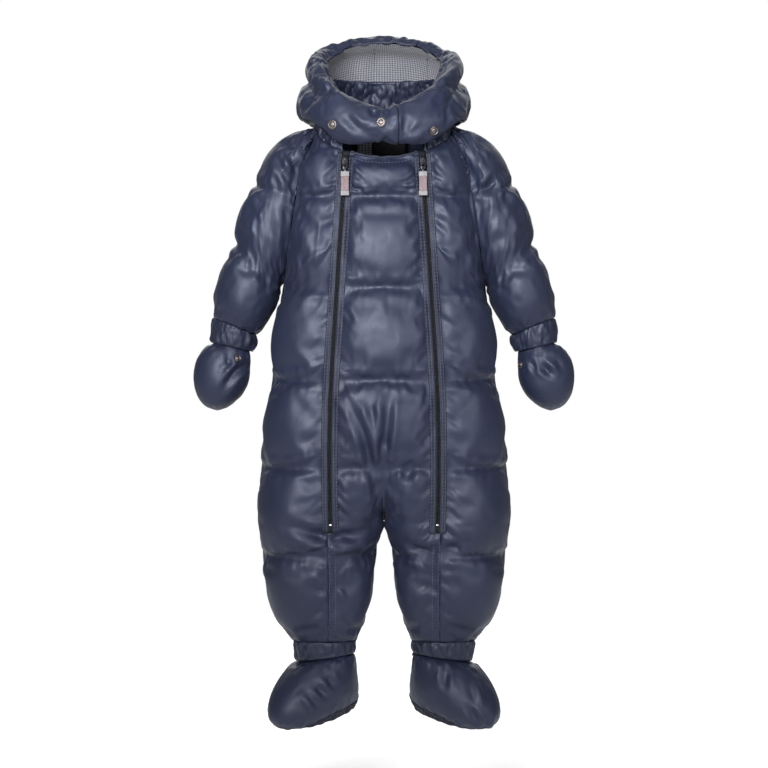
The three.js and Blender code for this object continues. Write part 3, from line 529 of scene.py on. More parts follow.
def weigh(piece, name, weights):
    """A vertex group with the weights in tenths."""
    group = piece.vertex_groups.new(name=name)
    steps = np.round(weights * 10).astype(int)
    for step in range(1, 11):
        group.add(np.flatnonzero(steps == step).tolist(), step / 10, "REPLACE")
    return group.name


def distances(places, chosen):
    """Distance of each place from the nearest of the chosen ones."""
    near = KDTree(len(chosen))
    for index in chosen:
        near.insert(places[index], int(index))
    near.balance()
    return np.array([near.find(place)[2] for place in places])


def line_distances(piece, kind="line"):
    """Distance of each point from the nearest seam or quilt line, or from the piece's own rim."""
    return distances(coordinates(piece.data), np.flatnonzero(values_of(piece.data, kind) > 0.9))


CLOTH_FRAMES = 20
# Distance from a line at which the cloth grows least
GROWTH_REACH = 0.035


def add_cloth(piece, growth, pressure):
    """Nylon that is held at its lines and grows and fills between them."""
    near = line_distances(piece)
    modifier = piece.modifiers.new("Filling", "CLOTH")
    settings = modifier.settings
    settings.quality = 5
    settings.mass = 0.12
    settings.air_damping = 2
    settings.tension_stiffness = settings.compression_stiffness = 12
    settings.shear_stiffness = 4
    settings.bending_stiffness = 0.25
    settings.tension_damping = settings.compression_damping = 6
    settings.bending_damping = 1
    settings.vertex_group_mass = weigh(piece, "held", (near < 1e-5).astype(float))
    settings.pin_stiffness = 1
    settings.vertex_group_shrink = weigh(piece, "full", np.clip(1 - near / GROWTH_REACH, 0, 1))
    settings.shrink_min = -0.3 * growth
    settings.shrink_max = -growth
    settings.use_pressure = True
    settings.uniform_pressure_force = pressure
    settings.effector_weights.gravity = 0
    modifier.collision_settings.use_collision = False
    modifier.point_cache.frame_start = 1
    modifier.point_cache.frame_end = CLOTH_FRAMES


def settle(pieces, limit):
    """Runs the cloth of all pieces together and keeps each within its limit of the cut form."""
    scene = bpy.context.scene
    for number in range(1, CLOTH_FRAMES + 1):
        scene.frame_set(number)
    graph = bpy.context.evaluated_depsgraph_get()
    results = {piece.name: coordinates(piece.evaluated_get(graph).data) for piece in pieces}
    for piece in pieces:
        start = coordinates(piece.data)
        step = results[piece.name] - start
        length = np.linalg.norm(step, axis=1, keepdims=True)
        step *= limit * np.tanh(length / limit) / np.maximum(length, 1e-9)
        piece.modifiers.clear()
        piece.vertex_groups.clear()
        set_coordinates(piece.data, start + step)
    scene.frame_set(1)


def fold(places, normals, folds, front=True):
    """Soft troughs and ridges along lines seen from the front, or mirrored on the back."""
    moved = np.zeros(len(places))
    facing = -normals[:, 1] if front else normals[:, 1]
    shown = np.clip(facing * 3, 0, 1)
    spot = places[:, [0, 2]] / MM
    if not front:
        spot = spot * (-1, 1) + (0, -9)
    for depth, width, *line in folds:
        corners = np.array(line, float).reshape(-1, 2)
        low = corners.min(0) - 4 * width
        high = corners.max(0) + 4 * width
        inside = np.flatnonzero(np.all((spot > low) & (spot < high), axis=1) & (shown > 0))
        if not len(inside):
            continue
        points = spot[inside]
        best = np.full(len(points), 1e9)
        along = np.zeros(len(points))
        lengths = np.linalg.norm(np.diff(corners, axis=0), axis=1)
        total = lengths.sum()
        done = 0.0
        for a, b, length in zip(corners[:-1], corners[1:], lengths):
            share = np.clip(((points - a) @ (b - a)) / length ** 2, 0, 1)
            distance = np.linalg.norm(points - (a + share[:, None] * (b - a)), axis=1)
            closer = distance < best
            along[closer] = (done + share[closer] * length) / total
            best = np.minimum(best, distance)
            done += length
        taper = np.sin(math.pi * np.clip(0.08 + 0.84 * along, 0, 1))
        across = best / width
        form = np.exp(-across ** 2) - 0.45 * np.exp(-((across - 1.9) / 0.8) ** 2)
        moved[inside] -= depth * MM * taper * form * shown[inside]
    return moved


def pucker(places, near, height, along_z):
    """Small gathers that run away from seams and quilt lines; along_z has them beside the zips too."""
    moved = np.zeros(len(places))
    for index, (x, y, z) in enumerate(places / MM):
        close = near[index] / MM
        if close > 30:
            continue
        level = noise.noise(Vector((x / 7, y / 7, z / 34)))
        step = noise.noise(Vector((x / 26, y / 26, (z + 0.9 * close) / 8 + 31)))
        beside = 0.0
        if along_z and y < 0:
            beside = math.exp(-(((abs(abs(x) - zip_x(z * MM) / MM)) - 14) / 9) ** 2)
        fade = math.exp(-((close - 6) / 9) ** 2)
        moved[index] = height * (1.3 * level * fade * (1 - beside) + 2.0 * step * beside * min(1, close / 4))
    return moved


def crumple(places, near, height):
    """Sharp-edged small creases of thin nylon, softer towards the middle of a channel."""
    moved = np.zeros(len(places))
    for index, place in enumerate(places / MM):
        spot = Vector(place)
        bent = spot + 9 * noise.noise_vector(spot / 38)
        wide = abs(noise.noise(bent / 21))
        small = abs(noise.noise(bent / 9.5 + Vector((5, 3, 1))))
        close = near[index] / MM
        calm = 0.55 + 0.45 * math.exp(-((close - 9) / 13) ** 2)
        moved[index] = height * calm * min(1, close / 5) * (1.6 * wide + 0.6 * small - 0.5)
    return moved


CUFF_FLARE = 0.0035
COLLAR_RISE = 0.009
CROWN_RISE = 0.006


def gather(piece, height, step):
    """Close upright gathers, as elastic pulls them."""
    places = coordinates(piece.data)
    near = np.clip(line_distances(piece) / 0.004, 0, 1)
    if piece.name.startswith("cloth_sleeve_cuff"):
        drop = (places[:, 2].max() - places[:, 2]) / np.ptp(places[:, 2])
        places += directions(piece.data) * (CUFF_FLARE * np.clip(drop - 0.35, 0, 1))[:, None]
    if piece.name == "cloth_collar":
        share = np.clip((places[:, 2] - 0.03) / 0.046, 0, 1) * np.clip(places[:, 1] / 0.02, 0, 1)
        places[:, 2] += COLLAR_RISE * share
    waves = np.array([noise.noise(Vector((x / step, y / step, z / 22))) + 0.5 * noise.noise(
        Vector((x / 3.5, y / 3.5, z / 9 + 7))) for x, y, z in places / MM])
    set_coordinates(piece.data, places + directions(piece.data) * (waves * height * near)[:, None])


def crown_rise(heights):
    """The filled crown stands a little prouder than its solid."""
    share = np.clip((heights - 0.05) / 0.08, 0, 1)
    return CROWN_RISE * share * share * (3 - 2 * share)


def sole_rand(bootie):
    """The sole's cloth turned up over the inner edge of a bootie."""
    side_name = bootie.name.split("_")[-1]
    side = SIDES[side_name]
    places = coordinates(bootie.data)
    out = directions(bootie.data)
    rim = np.flatnonzero((values_of(bootie.data, "rim") > 0.9) & (places[:, 2] < -0.61))
    distance = distances(places, rim)
    middle = places[:, 0].mean()
    width = 0.0105 * np.clip(0.6 + side * (middle - places[:, 0]) / 0.035, 0.15, 1)
    inside = distance < width
    numbers, faces = {}, []
    for face in bootie.data.polygons:
        if all(inside[v] for v in face.vertices):
            faces.append([numbers.setdefault(v, len(numbers)) for v in face.vertices])
    kept = list(numbers)
    mesh = mesh_of("rand_bootie_" + side_name, places[kept] + out[kept] * 0.0008, faces)
    piece = object_of("rand_bootie_" + side_name, mesh, "sole")
    thicken(piece, 0.001)


# How deep the folds lie on the front, where the photo shows them, and mirrored on the back
FRONT_DEPTH = 1.2
BACK_DEPTH = 0.6
# The trough along quilt lines, the step where the hood closes, and its place from the centre
GROOVE_DEPTH = 0.0018
GROOVE_WIDTH = 0.0065
CHIN_STEP = 0.0022
CHIN_X = 0.0115


def finish_cloth(piece, crease, along_z):
    """Listed folds, small creases and gathers, and the wall's thickness."""
    sizes = bpy.context.scene.snowsuit_sizes
    subdivide(piece, 1)
    places = coordinates(piece.data)
    out = directions(piece.data)
    near = line_distances(piece)
    moved = FRONT_DEPTH * fold(places, out, FRONT_FOLDS)
    moved += BACK_DEPTH * fold(places, out, FRONT_FOLDS, front=False)
    moved *= 0.35 + 0.65 * np.clip(near / 0.006, 0, 1)
    off_rim = 1 - np.exp(-(line_distances(piece, "rim") / 0.005) ** 2)
    moved -= GROOVE_DEPTH * np.exp(-(near / GROOVE_WIDTH) ** 2) * off_rim
    moved += pucker(places, near, sizes.pucker, along_z) + crumple(places, near, crease * sizes.pucker)
    if piece.name == "cloth_hood_right":
        chin = np.exp(-((places[:, 0] - CHIN_X) / 0.008) ** 2)
        moved += CHIN_STEP * chin * (places[:, 1] < -0.04)
    places += out * moved[:, None]
    if piece.name.startswith("cloth_hood"):
        places[:, 2] += crown_rise(places[:, 2])
    set_coordinates(piece.data, places)
    if piece.name.startswith("cloth_bootie"):
        sole_rand(piece)
    for name in ("line", "rim", "crease_edge"):
        if name in piece.data.attributes:
            piece.data.attributes.remove(piece.data.attributes[name])
    thicken(piece, sizes.wall)


# Growth of the cloth, pressure, how full it is, and how crumpled
BODY = (0.12, 3.0, 0.75, 0.16)
SLEEVE = (0.12, 2.5, 0.7, 0.3)
HAND_AND_FOOT = (0.09, 2.0, 0.5, 0.3)
HOOD = (0.09, 2.5, 0.6, 0.4)
PADDED = {"front_center": BODY, "back": BODY, "hood_center": HOOD}
for side_name in SIDES:
    for part, values in (("front_side_", BODY), ("sleeve_", SLEEVE), ("mitten_", HAND_AND_FOOT),
                         ("bootie_", HAND_AND_FOOT), ("hood_", HOOD)):
        PADDED[part + side_name] = values


class SNOWSUIT_OT_padding(bpy.types.Operator):
    """Padded panels, sleeves, hood, mittens and booties"""
    bl_idname = "snowsuit.padding"
    bl_label = "Padded cloth"

    def execute(self, context):
        sizes = context.scene.snowsuit_sizes
        pieces = []
        for node in PADDED:
            piece = skin(node, "cloth_" + node, "shell")
            subdivide(piece, 2)
            pieces.append(piece)
        for piece, (growth, pressure, _, _) in zip(pieces, PADDED.values()):
            add_cloth(piece, growth, pressure)
        settle(pieces, sizes.swell)
        for piece, (node, (_, _, fill, crease)) in zip(pieces, PADDED.items()):
            finish_cloth(piece, crease, node.startswith("front"))
        return {"FINISHED"}


# Height of the gathers in metres, and their width in millimetres
COLLAR_WAVES = (0.0045, 13)
CUFF_WAVES = (0.003, 6)


class SNOWSUIT_OT_gathers(bpy.types.Operator):
    """Gathered collar, wrist and ankle bands"""
    bl_idname = "snowsuit.gathers"
    bl_label = "Gathered bands"

    def execute(self, context):
        wall = context.scene.snowsuit_sizes.wall
        nodes = ["collar"] + [part + side for side in SIDES for part in ("sleeve_cuff_", "ankle_cuff_")]
        for node in nodes:
            piece = skin(node, "cloth_" + node, "cuff")
            subdivide(piece, 3)
            height, step = COLLAR_WAVES if node == "collar" else CUFF_WAVES
            gather(piece, height, step)
            for key in ("line", "rim"):
                piece.data.attributes.remove(piece.data.attributes[key])
            thicken(piece, wall)
        return {"FINISHED"}


class SNOWSUIT_OT_soles(bpy.types.Operator):
    """Soles of the booties"""
    bl_idname = "snowsuit.soles"
    bl_label = "Soles"

    def execute(self, context):
        for side in SIDES:
            piece = skin("bootie_sole_" + side, "cloth_bootie_sole_" + side, "sole")
            subdivide(piece, 2)
            thicken(piece, context.scene.snowsuit_sizes.wall)
        return {"FINISHED"}


# Lining and label

# Mean distance of the lining from the middle of the head
HEAD_RADIUS = 0.12
LINING_SEAMS = (-0.0115, 0.051)
# Across from, across to, points across, up from, up to, points up, lift and thickness
NECK_LINING = (-0.031, 0.0, 12, -0.035, 0.024, 16, 0.0012, 0.0008)
NECK_LABEL = (-0.014, 0.026, 12, -0.002, 0.021, 8, 0.0026, 0.0007)


def lining_map(mesh, centre):
    """Maps the lining by its length round the head and its height, in metres."""
    places = coordinates(mesh)
    layer = mesh.uv_layers.new(name="Lining")
    loops = np.empty(len(mesh.loops), np.int32)
    mesh.loops.foreach_get("vertex_index", loops)
    u = np.arctan2(places[:, 0], places[:, 1] - centre) * HEAD_RADIUS
    v = places[:, 2] - 0.6 * places[:, 1]
    layer.data.foreach_set("uv", np.stack([u[loops], v[loops]], 1).astype(np.float32).ravel())


class SNOWSUIT_OT_lining(bpy.types.Operator):
    """Checked lining of hood and back neck, and the plain label"""
    bl_idname = "snowsuit.lining"
    bl_label = "Lining and label"

    def execute(self, context):
        made = bmesh.new()
        made.from_mesh(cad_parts["hood_lining"].data)
        bmesh.ops.remove_doubles(made, verts=made.verts[:], dist=1e-5)
        bmesh.ops.join_triangles(made, faces=made.faces[:], angle_face_threshold=math.radians(50),
                                 angle_shape_threshold=math.radians(60))
        mesh = bpy.data.meshes.new("cloth_hood_lining")
        made.to_mesh(mesh)
        made.free()
        piece = object_of("cloth_hood_lining", mesh, "lining")
        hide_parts("hood_lining")
        subdivide(piece, 3)
        places = coordinates(mesh)
        waves = np.array([noise.noise(Vector((x / 16, y / 16, z / 40))) for x, y, z in places / MM])
        inward = np.stack([-places[:, 0], -places[:, 1], 0 * waves], 1)
        inward /= np.maximum(np.linalg.norm(inward, axis=1, keepdims=True), 1e-9)
        places += inward * (0.0016 * (waves + 0.6))[:, None]
        places[:, 2] += crown_rise(places[:, 2])
        set_coordinates(mesh, places)
        lining_map(mesh, -0.03)
        cover = tree_of("cloth_hood_lining")
        for number, x in enumerate(LINING_SEAMS):
            line = [(x, z) for z in np.arange(0.126, 0.07, -0.004)]
            stitched(f"seam_lining_{number}", cover, line, 0.0003)
        piece = self.patch("neck_lining", "lining", "lining_check", *NECK_LINING)
        lining_map(piece.data, -0.09)
        piece = self.patch("neck_label", "label", None, *NECK_LABEL)
        return {"FINISHED"}

    def patch(self, name, key, slot, left, right, columns, bottom, top, rows, lift, thickness):
        """A patch that lies on the inside of the back neck."""
        inside = tree_of("back", "collar")
        places = []
        for z in np.linspace(bottom, top, rows):
            for x in np.linspace(left, right, columns):
                hit, _ = seat(inside, x, z, 0.0)
                places.append(Vector((x, hit.y - lift, z)))
        piece = object_of(name, mesh_of(name, places, grid_faces(rows, columns)), key)
        thicken(piece, thickness)
        return piece


# Zips

# Distances from the middle of a zip: the points across the strip of cloth beside it, its two rows of stitches,
# and the room that the slider needs. The strip is squeezed to SLIDER_SQUEEZE of its width there.
FLAP = (0.0019, 0.0034, 0.0055, 0.0077, 0.0094)
FLAP_STITCHES = (0.0048, 0.0079)
SLIDER_ROOM = 0.0043
SLIDER_SQUEEZE = 0.25
FLAP_LIFT = 0.001
FLAP_THICKNESS = 0.0014
TOOTH_OFFSET = 0.0011
TOOTH_STEP = Vector((0.0021, 0, 0.0003))
TOOTH_RADIUS = 0.0006
STOP_WIDTH = 0.0036
STOP_RADIUS = 0.0011


def flap_on(surface, name, side, offsets, top, bottom):
    """A narrow strip of cloth beside a zip, laid on what is under it."""
    heights = np.arange(top, bottom, -0.004)
    rows = []
    for z in heights:
        row = []
        for offset in offsets:
            if z > (SLIDER_Z - 13) * MM:
                beside = SLIDER_ROOM + SLIDER_SQUEEZE * (abs(offset) - FLAP[0])
                offset = math.copysign(max(abs(offset), beside), offset)
            x = side * zip_x(z) + offset
            hit, _ = seat(surface, x, z)
            if hit is not None and hit.y < 0.01:
                row.append(np.array((x, hit.y - FLAP_LIFT, z)))
        if len(row) == len(offsets):
            rows.append(row)
    rows = np.array(rows)
    smooth = rows.copy()
    for _ in range(2):
        smooth[1:-1, :, 1] = np.minimum((smooth[:-2, :, 1] + 2 * smooth[1:-1, :, 1] + smooth[2:, :, 1]) / 4,
                                        rows[1:-1, :, 1] + 0.0004)
    faces = [tuple(reversed(face)) for face in grid_faces(len(rows), len(offsets))]
    piece = object_of(name, mesh_of(name, smooth.reshape(-1, 3), faces), "flap")
    thicken(piece, FLAP_THICKNESS)
    subdivide(piece, 1)


def capsules(name, key, places, steps, radius):
    """Many small rounded bars, each from place - step / 2 to place + step / 2, in one mesh."""
    ring = 6
    profile = ((-1.0, 0.45), (-0.7, 1.0), (0.7, 1.0), (1.0, 0.45))
    points, faces = [], []
    for place, step in zip(places, steps):
        along = Vector(step)
        half = along.length / 2
        along.normalize()
        side = along.cross(Vector((0, -1, 0)))
        if side.length < 0.1:
            side = along.cross(Vector((0, 0, 1)))
        side.normalize()
        up = side.cross(along)
        start = len(points)
        for at, size in profile:
            for k in range(ring):
                angle = math.tau * k / ring
                out = side * math.cos(angle) + up * math.sin(angle)
                points.append(Vector(place) + along * at * half + radius * size * out)
        for row in range(len(profile) - 1):
            for k in range(ring):
                a = start + row * ring + k
                b = start + row * ring + (k + 1) % ring
                faces.append((a, b, b + ring, a + ring))
        faces.append(tuple(start + k for k in reversed(range(ring))))
        faces.append(tuple(start + (len(profile) - 1) * ring + k for k in range(ring)))
    mesh = mesh_of(name, points, faces)
    made = bmesh.new()
    made.from_mesh(mesh)
    bmesh.ops.recalc_face_normals(made, faces=made.faces[:])
    made.to_mesh(mesh)
    made.free()
    return object_of(name, mesh, key)


def stitched(name, surface, line, lift=0.0002):
    """Stitches along a line of points, each set on the surface under it."""
    sizes = bpy.context.scene.snowsuit_sizes
    pitch = sizes.stitch + sizes.stitch_gap
    corners = np.array(line, float)
    lengths = np.concatenate([[0], np.cumsum(np.linalg.norm(np.diff(corners, axis=0), axis=1))])
    places, steps = [], []
    for at in np.arange(pitch / 2, lengths[-1] - pitch / 2, pitch):
        ends = []
        for spot in (at - sizes.stitch / 2, at + sizes.stitch / 2):
            x, z = (float(np.interp(spot, lengths, corners[:, k])) for k in (0, 1))
            hit, _ = seat(surface, x, z)
            if hit is not None:
                ends.append(Vector((x, hit.y - lift, z)))
        if len(ends) == 2:
            places.append((ends[0] + ends[1]) / 2)
            steps.append(ends[1] - ends[0])
    return capsules(name, "thread", places, steps, sizes.thread)


class SNOWSUIT_OT_zips(bpy.types.Operator):
    """Zip tapes, teeth, stops, stitched flaps beside them and their stitches"""
    bl_idname = "snowsuit.zips"
    bl_label = "Zips"

    def execute(self, context):
        pitch = context.scene.snowsuit_sizes.tooth
        for name, side in SIDES.items():
            tape = skin("zip_" + name, "tape_zip_" + name, "tape")
            subdivide(tape, 2)
            thicken(tape, context.scene.snowsuit_sizes.wall)
            ground = tree_of("tape_zip_" + name)
            low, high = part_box("zip_" + name)
            places, steps = [], []
            top, bottom = high.z - 0.006, low.z + 0.008
            for row in (-1, 1):
                for z in np.arange(top, bottom, -pitch):
                    x = side * zip_x(z) + row * TOOTH_OFFSET
                    hit, _ = seat(ground, x, z + row * pitch / 4)
                    if hit is None:
                        continue
                    places.append(Vector((x, hit.y - 0.0005, z + row * pitch / 4)))
                    steps.append(TOOTH_STEP * Vector((1, 0, row)))
            capsules("teeth_zip_" + name, "teeth", places, steps, TOOTH_RADIUS)
            hit, _ = seat(ground, side * zip_x(bottom), bottom + 0.001)
            stop = hit + Vector((0, -0.0008, 0))
            capsules("stop_zip_" + name, "stop", [stop], [Vector((STOP_WIDTH, 0, 0))], STOP_RADIUS)
            panels = tree_of("cloth_front_center", "cloth_front_side_" + name, "tape_zip_" + name)
            for label, sign in (("inner", -side), ("outer", side)):
                offsets = [sign * offset for offset in FLAP]
                if sign < 0:
                    offsets.reverse()
                flap = "flap_" + label + "_" + name
                flap_on(panels, flap, side, offsets, high.z - 0.001, low.z - 0.004)
                cover = tree_of(flap)
                for number, offset in enumerate(FLAP_STITCHES):
                    heights = np.arange(high.z - 0.004, low.z - 0.002, -0.006)
                    line = [(side * zip_x(z) + sign * offset, z) for z in heights]
                    stitched(f"stitches_{label}_{number}_{name}", cover, line)
        return {"FINISHED"}


# Hard pieces: each is modelled upright at the origin, with +Y up the zip and +Z off the cloth

def round_edges(piece, width, segments):
    modifier = piece.modifiers.new("Edge", "BEVEL")
    modifier.width = width
    modifier.segments = segments
    modifier.limit_method = "ANGLE"
    apply_modifier(piece, modifier)


def placed(piece, place, turn=(0, 0, 0)):
    piece.data.transform(Matrix.Translation(place) @ Euler(turn).to_matrix().to_4x4())
    return piece


def block(size, place, bevel, taper=None):
    """A block with rounded edges; taper narrows its lower end."""
    deselect()
    bpy.ops.mesh.primitive_cube_add(size=1, location=(0, 0, 0))
    piece = bpy.context.object
    piece.data.transform(Matrix.Diagonal((*size, 1)))
    bpy.ops.object.mode_set(mode="EDIT")
    bpy.ops.mesh.select_all(action="SELECT")
    bpy.ops.mesh.subdivide(number_cuts=2)
    bpy.ops.object.mode_set(mode="OBJECT")
    if taper:
        for vert in piece.data.vertices:
            share = max(0.0, -vert.co.y / (size[1] / 2))
            vert.co.x *= 1 - (1 - taper) * share
    round_edges(piece, bevel, 3)
    return placed(piece, place)


def rod(radius, length, place, turn):
    deselect()
    bpy.ops.mesh.primitive_cylinder_add(vertices=20, radius=radius, depth=length)
    piece = bpy.context.object
    round_edges(piece, radius * 0.25, 2)
    return placed(piece, place, turn)


def loop(major, minor, place, turn):
    deselect()
    bpy.ops.mesh.primitive_torus_add(
        major_radius=major, minor_radius=minor, major_segments=32, minor_segments=12)
    return placed(bpy.context.object, place, turn)


def assemble(parts, name, key, body, node, place):
    """Joins parts into one piece, puts its place in its mesh and lets it stand for its node."""
    only(parts[0])
    for part in parts:
        part.select_set(True)
    if len(parts) > 1:
        bpy.ops.object.join()
    piece = bpy.context.object
    piece.name = name
    piece.data.transform(place)
    piece.matrix_world = Matrix.Identity(4)
    piece.data.materials.clear()
    piece.data.materials.append(material_for(key))
    piece.data.shade_smooth()
    only(piece)
    bpy.ops.object.shade_smooth_by_angle(angle=math.radians(35))
    if node:
        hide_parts(node)
    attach(piece, body)
    return piece


def slider_place(name, side):
    """Where a slider lies on its zip, as a matrix: the same rule as in the solids."""
    ground = tree_of("zip_" + name)
    x = side * zip_x(SLIDER_Z * MM)
    above, _ = seat(ground, x, (SLIDER_Z + 8) * MM)
    below, _ = seat(ground, x, (SLIDER_Z - 8) * MM)
    lean = math.atan2(above.y - below.y, above.z - below.z)
    return Matrix.Translation((above + below) / 2) @ Matrix.Rotation(math.pi / 2 - lean, 4, "X")


# Of the slider, as in the solids: its distance from the tape, its height, how far the bar stands off and lies
# below the middle, and the bar's radius
CLEAR = 0.0009
PLATE = 0.0032
BAR_RISE = 0.0027
BAR_DROP = 0.003
BAR = 0.0008
BAR_Z = CLEAR + PLATE + BAR_RISE
QUARTER = (0, math.pi / 2, 0)


class SNOWSUIT_OT_sliders(bpy.types.Operator):
    """Zip sliders: two wings, side rails, cheeks and the bar for the pull"""
    bl_idname = "snowsuit.sliders"
    bl_label = "Sliders"

    def execute(self, context):
        for name, side in SIDES.items():
            parts = [
                block((0.007, 0.016, 0.0011), (0, 0, CLEAR + PLATE - 0.0006), 0.0004, 0.72),
                block((0.0066, 0.015, 0.001), (0, 0, CLEAR + 0.0005), 0.0004, 0.72),
                block((0.0012, 0.005, PLATE * 0.9), (0, 0.0052, CLEAR + PLATE / 2), 0.0003),
                *(block((0.0009, 0.01, 0.0016), (x, 0.002, CLEAR + PLATE - 0.0012), 0.0003)
                  for x in (0.0029, -0.0029)),
                block((0.0028, 0.004, 0.0009), (0, 0.0045, CLEAR + PLATE + 0.0004), 0.0003),
                rod(BAR, 0.006, (0, -BAR_DROP, BAR_Z), QUARTER),
                *(block((0.001, 0.0034, BAR_RISE + 0.0012), (x, -BAR_DROP, BAR_Z - 0.0014), 0.0003)
                  for x in (-0.0025, 0.0025)),
            ]
            assemble(parts, "metal_slider_" + name, "slider", "garment", "slider_" + name,
                     slider_place(name, side))
        return {"FINISHED"}


class SNOWSUIT_OT_pulls(bpy.types.Operator):
    """Zip pulls: a ring round the bar, an arm, and a tab with a band at each end"""
    bl_idname = "snowsuit.pulls"
    bl_label = "Pulls"

    def execute(self, context):
        for name, side in SIDES.items():
            body = "pull_" + name
            place = slider_place(name, side) @ Matrix.Translation((0, -BAR_DROP, BAR_Z))
            ring = [
                loop(0.0018, 0.0005, (0, 0, 0), QUARTER),
                block((0.0026, 0.0072, 0.0011), (0, -0.0054, 0), 0.0004),
                loop(0.0017, 0.0005, (0, -0.0078, 0), (0, 0, 0)),
            ]
            assemble(ring, "ring_pull_" + name, "slider", body, None, place)
            tab = [
                block((0.0088, 0.0285, 0.0012), (0, -0.0227, 0), 0.0004),
                *(block((0.0026, 0.017, 0.0005), (x, -0.0226, 0.0007), 0.0002) for x in (-0.0023, 0.0023)),
            ]
            assemble(tab, "tab_pull_" + name, "leather", body, "pull_" + name, place)
            bands = [
                block((0.0095, 0.0058, 0.0021), (0, -0.0115, 0), 0.0005),
                block((0.0095, 0.0052, 0.0021), (0, -0.0342, 0), 0.0005),
            ]
            assemble(bands, "bands_pull_" + name, "band", body, None, place)
        return {"FINISHED"}


# Places of the snaps as seen from the front, x and z in millimetres; radius, height and lift in metres
SNAPS = {"snap_right": (-57, 21), "snap_chin": (-3, 22), "snap_left": (55, 15)}
MITTEN_SNAPS = {"mitten_snap_right": (-168, -240), "mitten_snap_left": (157, -247)}
HOOD_SNAP_SIZE = (0.0057, 0.0026, 0.0012)
MITTEN_SNAP_SIZE = (0.0042, 0.002, 0.0008)


def snap_parts(radius, height):
    """A cap with a rolled rim, a sunk ring and a domed middle, drawn up from a disc."""
    deselect()
    bpy.ops.mesh.primitive_circle_add(vertices=32, radius=radius, fill_type="NGON")
    piece = bpy.context.object
    bpy.ops.object.mode_set(mode="EDIT")
    bpy.ops.mesh.select_all(action="SELECT")
    steps = ((0, height * 0.45), (0.06, height * 0.25), (0.12, height * 0.12), (0.1, -height * 0.2),
             (0.16, 0), (0.1, height * 0.25), (0.16, height * 0.14))
    for inset, rise in steps:
        if inset:
            bpy.ops.mesh.inset(thickness=inset * radius)
        else:
            bpy.ops.mesh.extrude_region_move()
        bpy.ops.transform.translate(value=(0, 0, rise))
    bpy.ops.object.mode_set(mode="OBJECT")
    return piece


class SNOWSUIT_OT_snaps(bpy.types.Operator):
    """Snap fasteners of the hood and the mittens"""
    bl_idname = "snowsuit.snaps"
    bl_label = "Snaps"

    def execute(self, context):
        solid_hood = tree_of("hood_left", "hood_right")
        for name, spot in SNAPS.items():
            self.put(name, solid_hood, spot, HOOD_SNAP_SIZE, name)
        cloth = tree_of("cloth_mitten_left", "cloth_mitten_right")
        for name, spot in MITTEN_SNAPS.items():
            self.put(name, cloth, spot, MITTEN_SNAP_SIZE, None)
        return {"FINISHED"}

    def put(self, name, surface, spot, size, node):
        radius, height, lift = size
        at, out = seat(surface, spot[0] * MM, spot[1] * MM)
        place = Matrix.Translation(at + out * lift) @ out.to_track_quat("Z", "Y").to_matrix().to_4x4()
        assemble([snap_parts(radius, height)], "metal_" + name, "snap", "garment", node, place)


# Half the width of the neck edge between the zips, its piping's radius, and how far below it the stitches run
NECK_HALF = 0.037
PIPING = 0.0016
STITCH_DROP = 0.0065
# Heights of the stitches below the zips, and their distance to each side of the seam
LEG_STITCHES = (-0.447, -0.556)
LEG_SHIFT = 0.0035


class SNOWSUIT_OT_sewing(bpy.types.Operator):
    """Piping of the neck edge and stitches of the front seams"""
    bl_idname = "snowsuit.sewing"
    bl_label = "Sewing"

    def execute(self, context):
        panels = tree_of("cloth_front_center", "cloth_front_side_left", "cloth_front_side_right")
        spots = []
        for x in np.linspace(-NECK_HALF, NECK_HALF, 26):
            for z in np.arange(-0.004, -0.03, -0.0004):
                hit, normal = seat(panels, x, z)
                if hit is not None and hit.y < 0:
                    spots.append(Vector((x, hit.y + 0.0005, z)))
                    break
        curve = bpy.data.curves.new("neck_piping", "CURVE")
        curve.dimensions = "3D"
        curve.bevel_depth = PIPING
        curve.bevel_resolution = 3
        curve.use_fill_caps = True
        spline = curve.splines.new("POLY")
        spline.points.add(len(spots) - 1)
        for point, spot in zip(spline.points, spots):
            point.co = (*spot, 1)
        source = bpy.data.objects.new("neck_piping_curve", curve)
        bpy.context.scene.collection.objects.link(source)
        graph = bpy.context.evaluated_depsgraph_get()
        mesh = bpy.data.meshes.new_from_object(source.evaluated_get(graph))
        bpy.data.objects.remove(source)
        object_of("neck_piping", mesh, "flap")
        edge = [(spot.x, spot.z - STITCH_DROP) for spot in spots]
        stitched("stitches_neck", panels, edge)
        for name, side in SIDES.items():
            heights = np.arange(*LEG_STITCHES, -0.008)
            for number, shift in enumerate((-LEG_SHIFT, LEG_SHIFT)):
                line = [(side * zip_x(z) + shift, z) for z in heights]
                stitched(f"stitches_leg_{number}_{name}", panels, line)
        return {"FINISHED"}


# Stage

# Area lights: place, width, power in watts, the spot they face, and spread in degrees
LIGHTS = {
    "Key": ((-0.45, -1.8, 0.3), 0.9, 8.8, (0, 0, 0.02), 54),
    "Fill": ((1.3, -1.9, 0.1), 0.9, 4.4, (0, 0, -0.05), 76),
    "Top": ((0.1, -0.7, 1.9), 1.4, 10, (0, 0, -0.25), 180),
    "Back": ((0, 2.2, 1.1), 2.6, 46, (0, 0, -0.25), 180),
}
CAMERA_PLACE = (0, -3.19, -0.269)
LENS = 130
# The strength of the surroundings as light; the camera sees them as plain white
SOFT_LIGHT = 0.14
FLOOR_Z = -0.74
FLOOR_RADIUS = 2.4
FLOOR_GLOW = 0.35


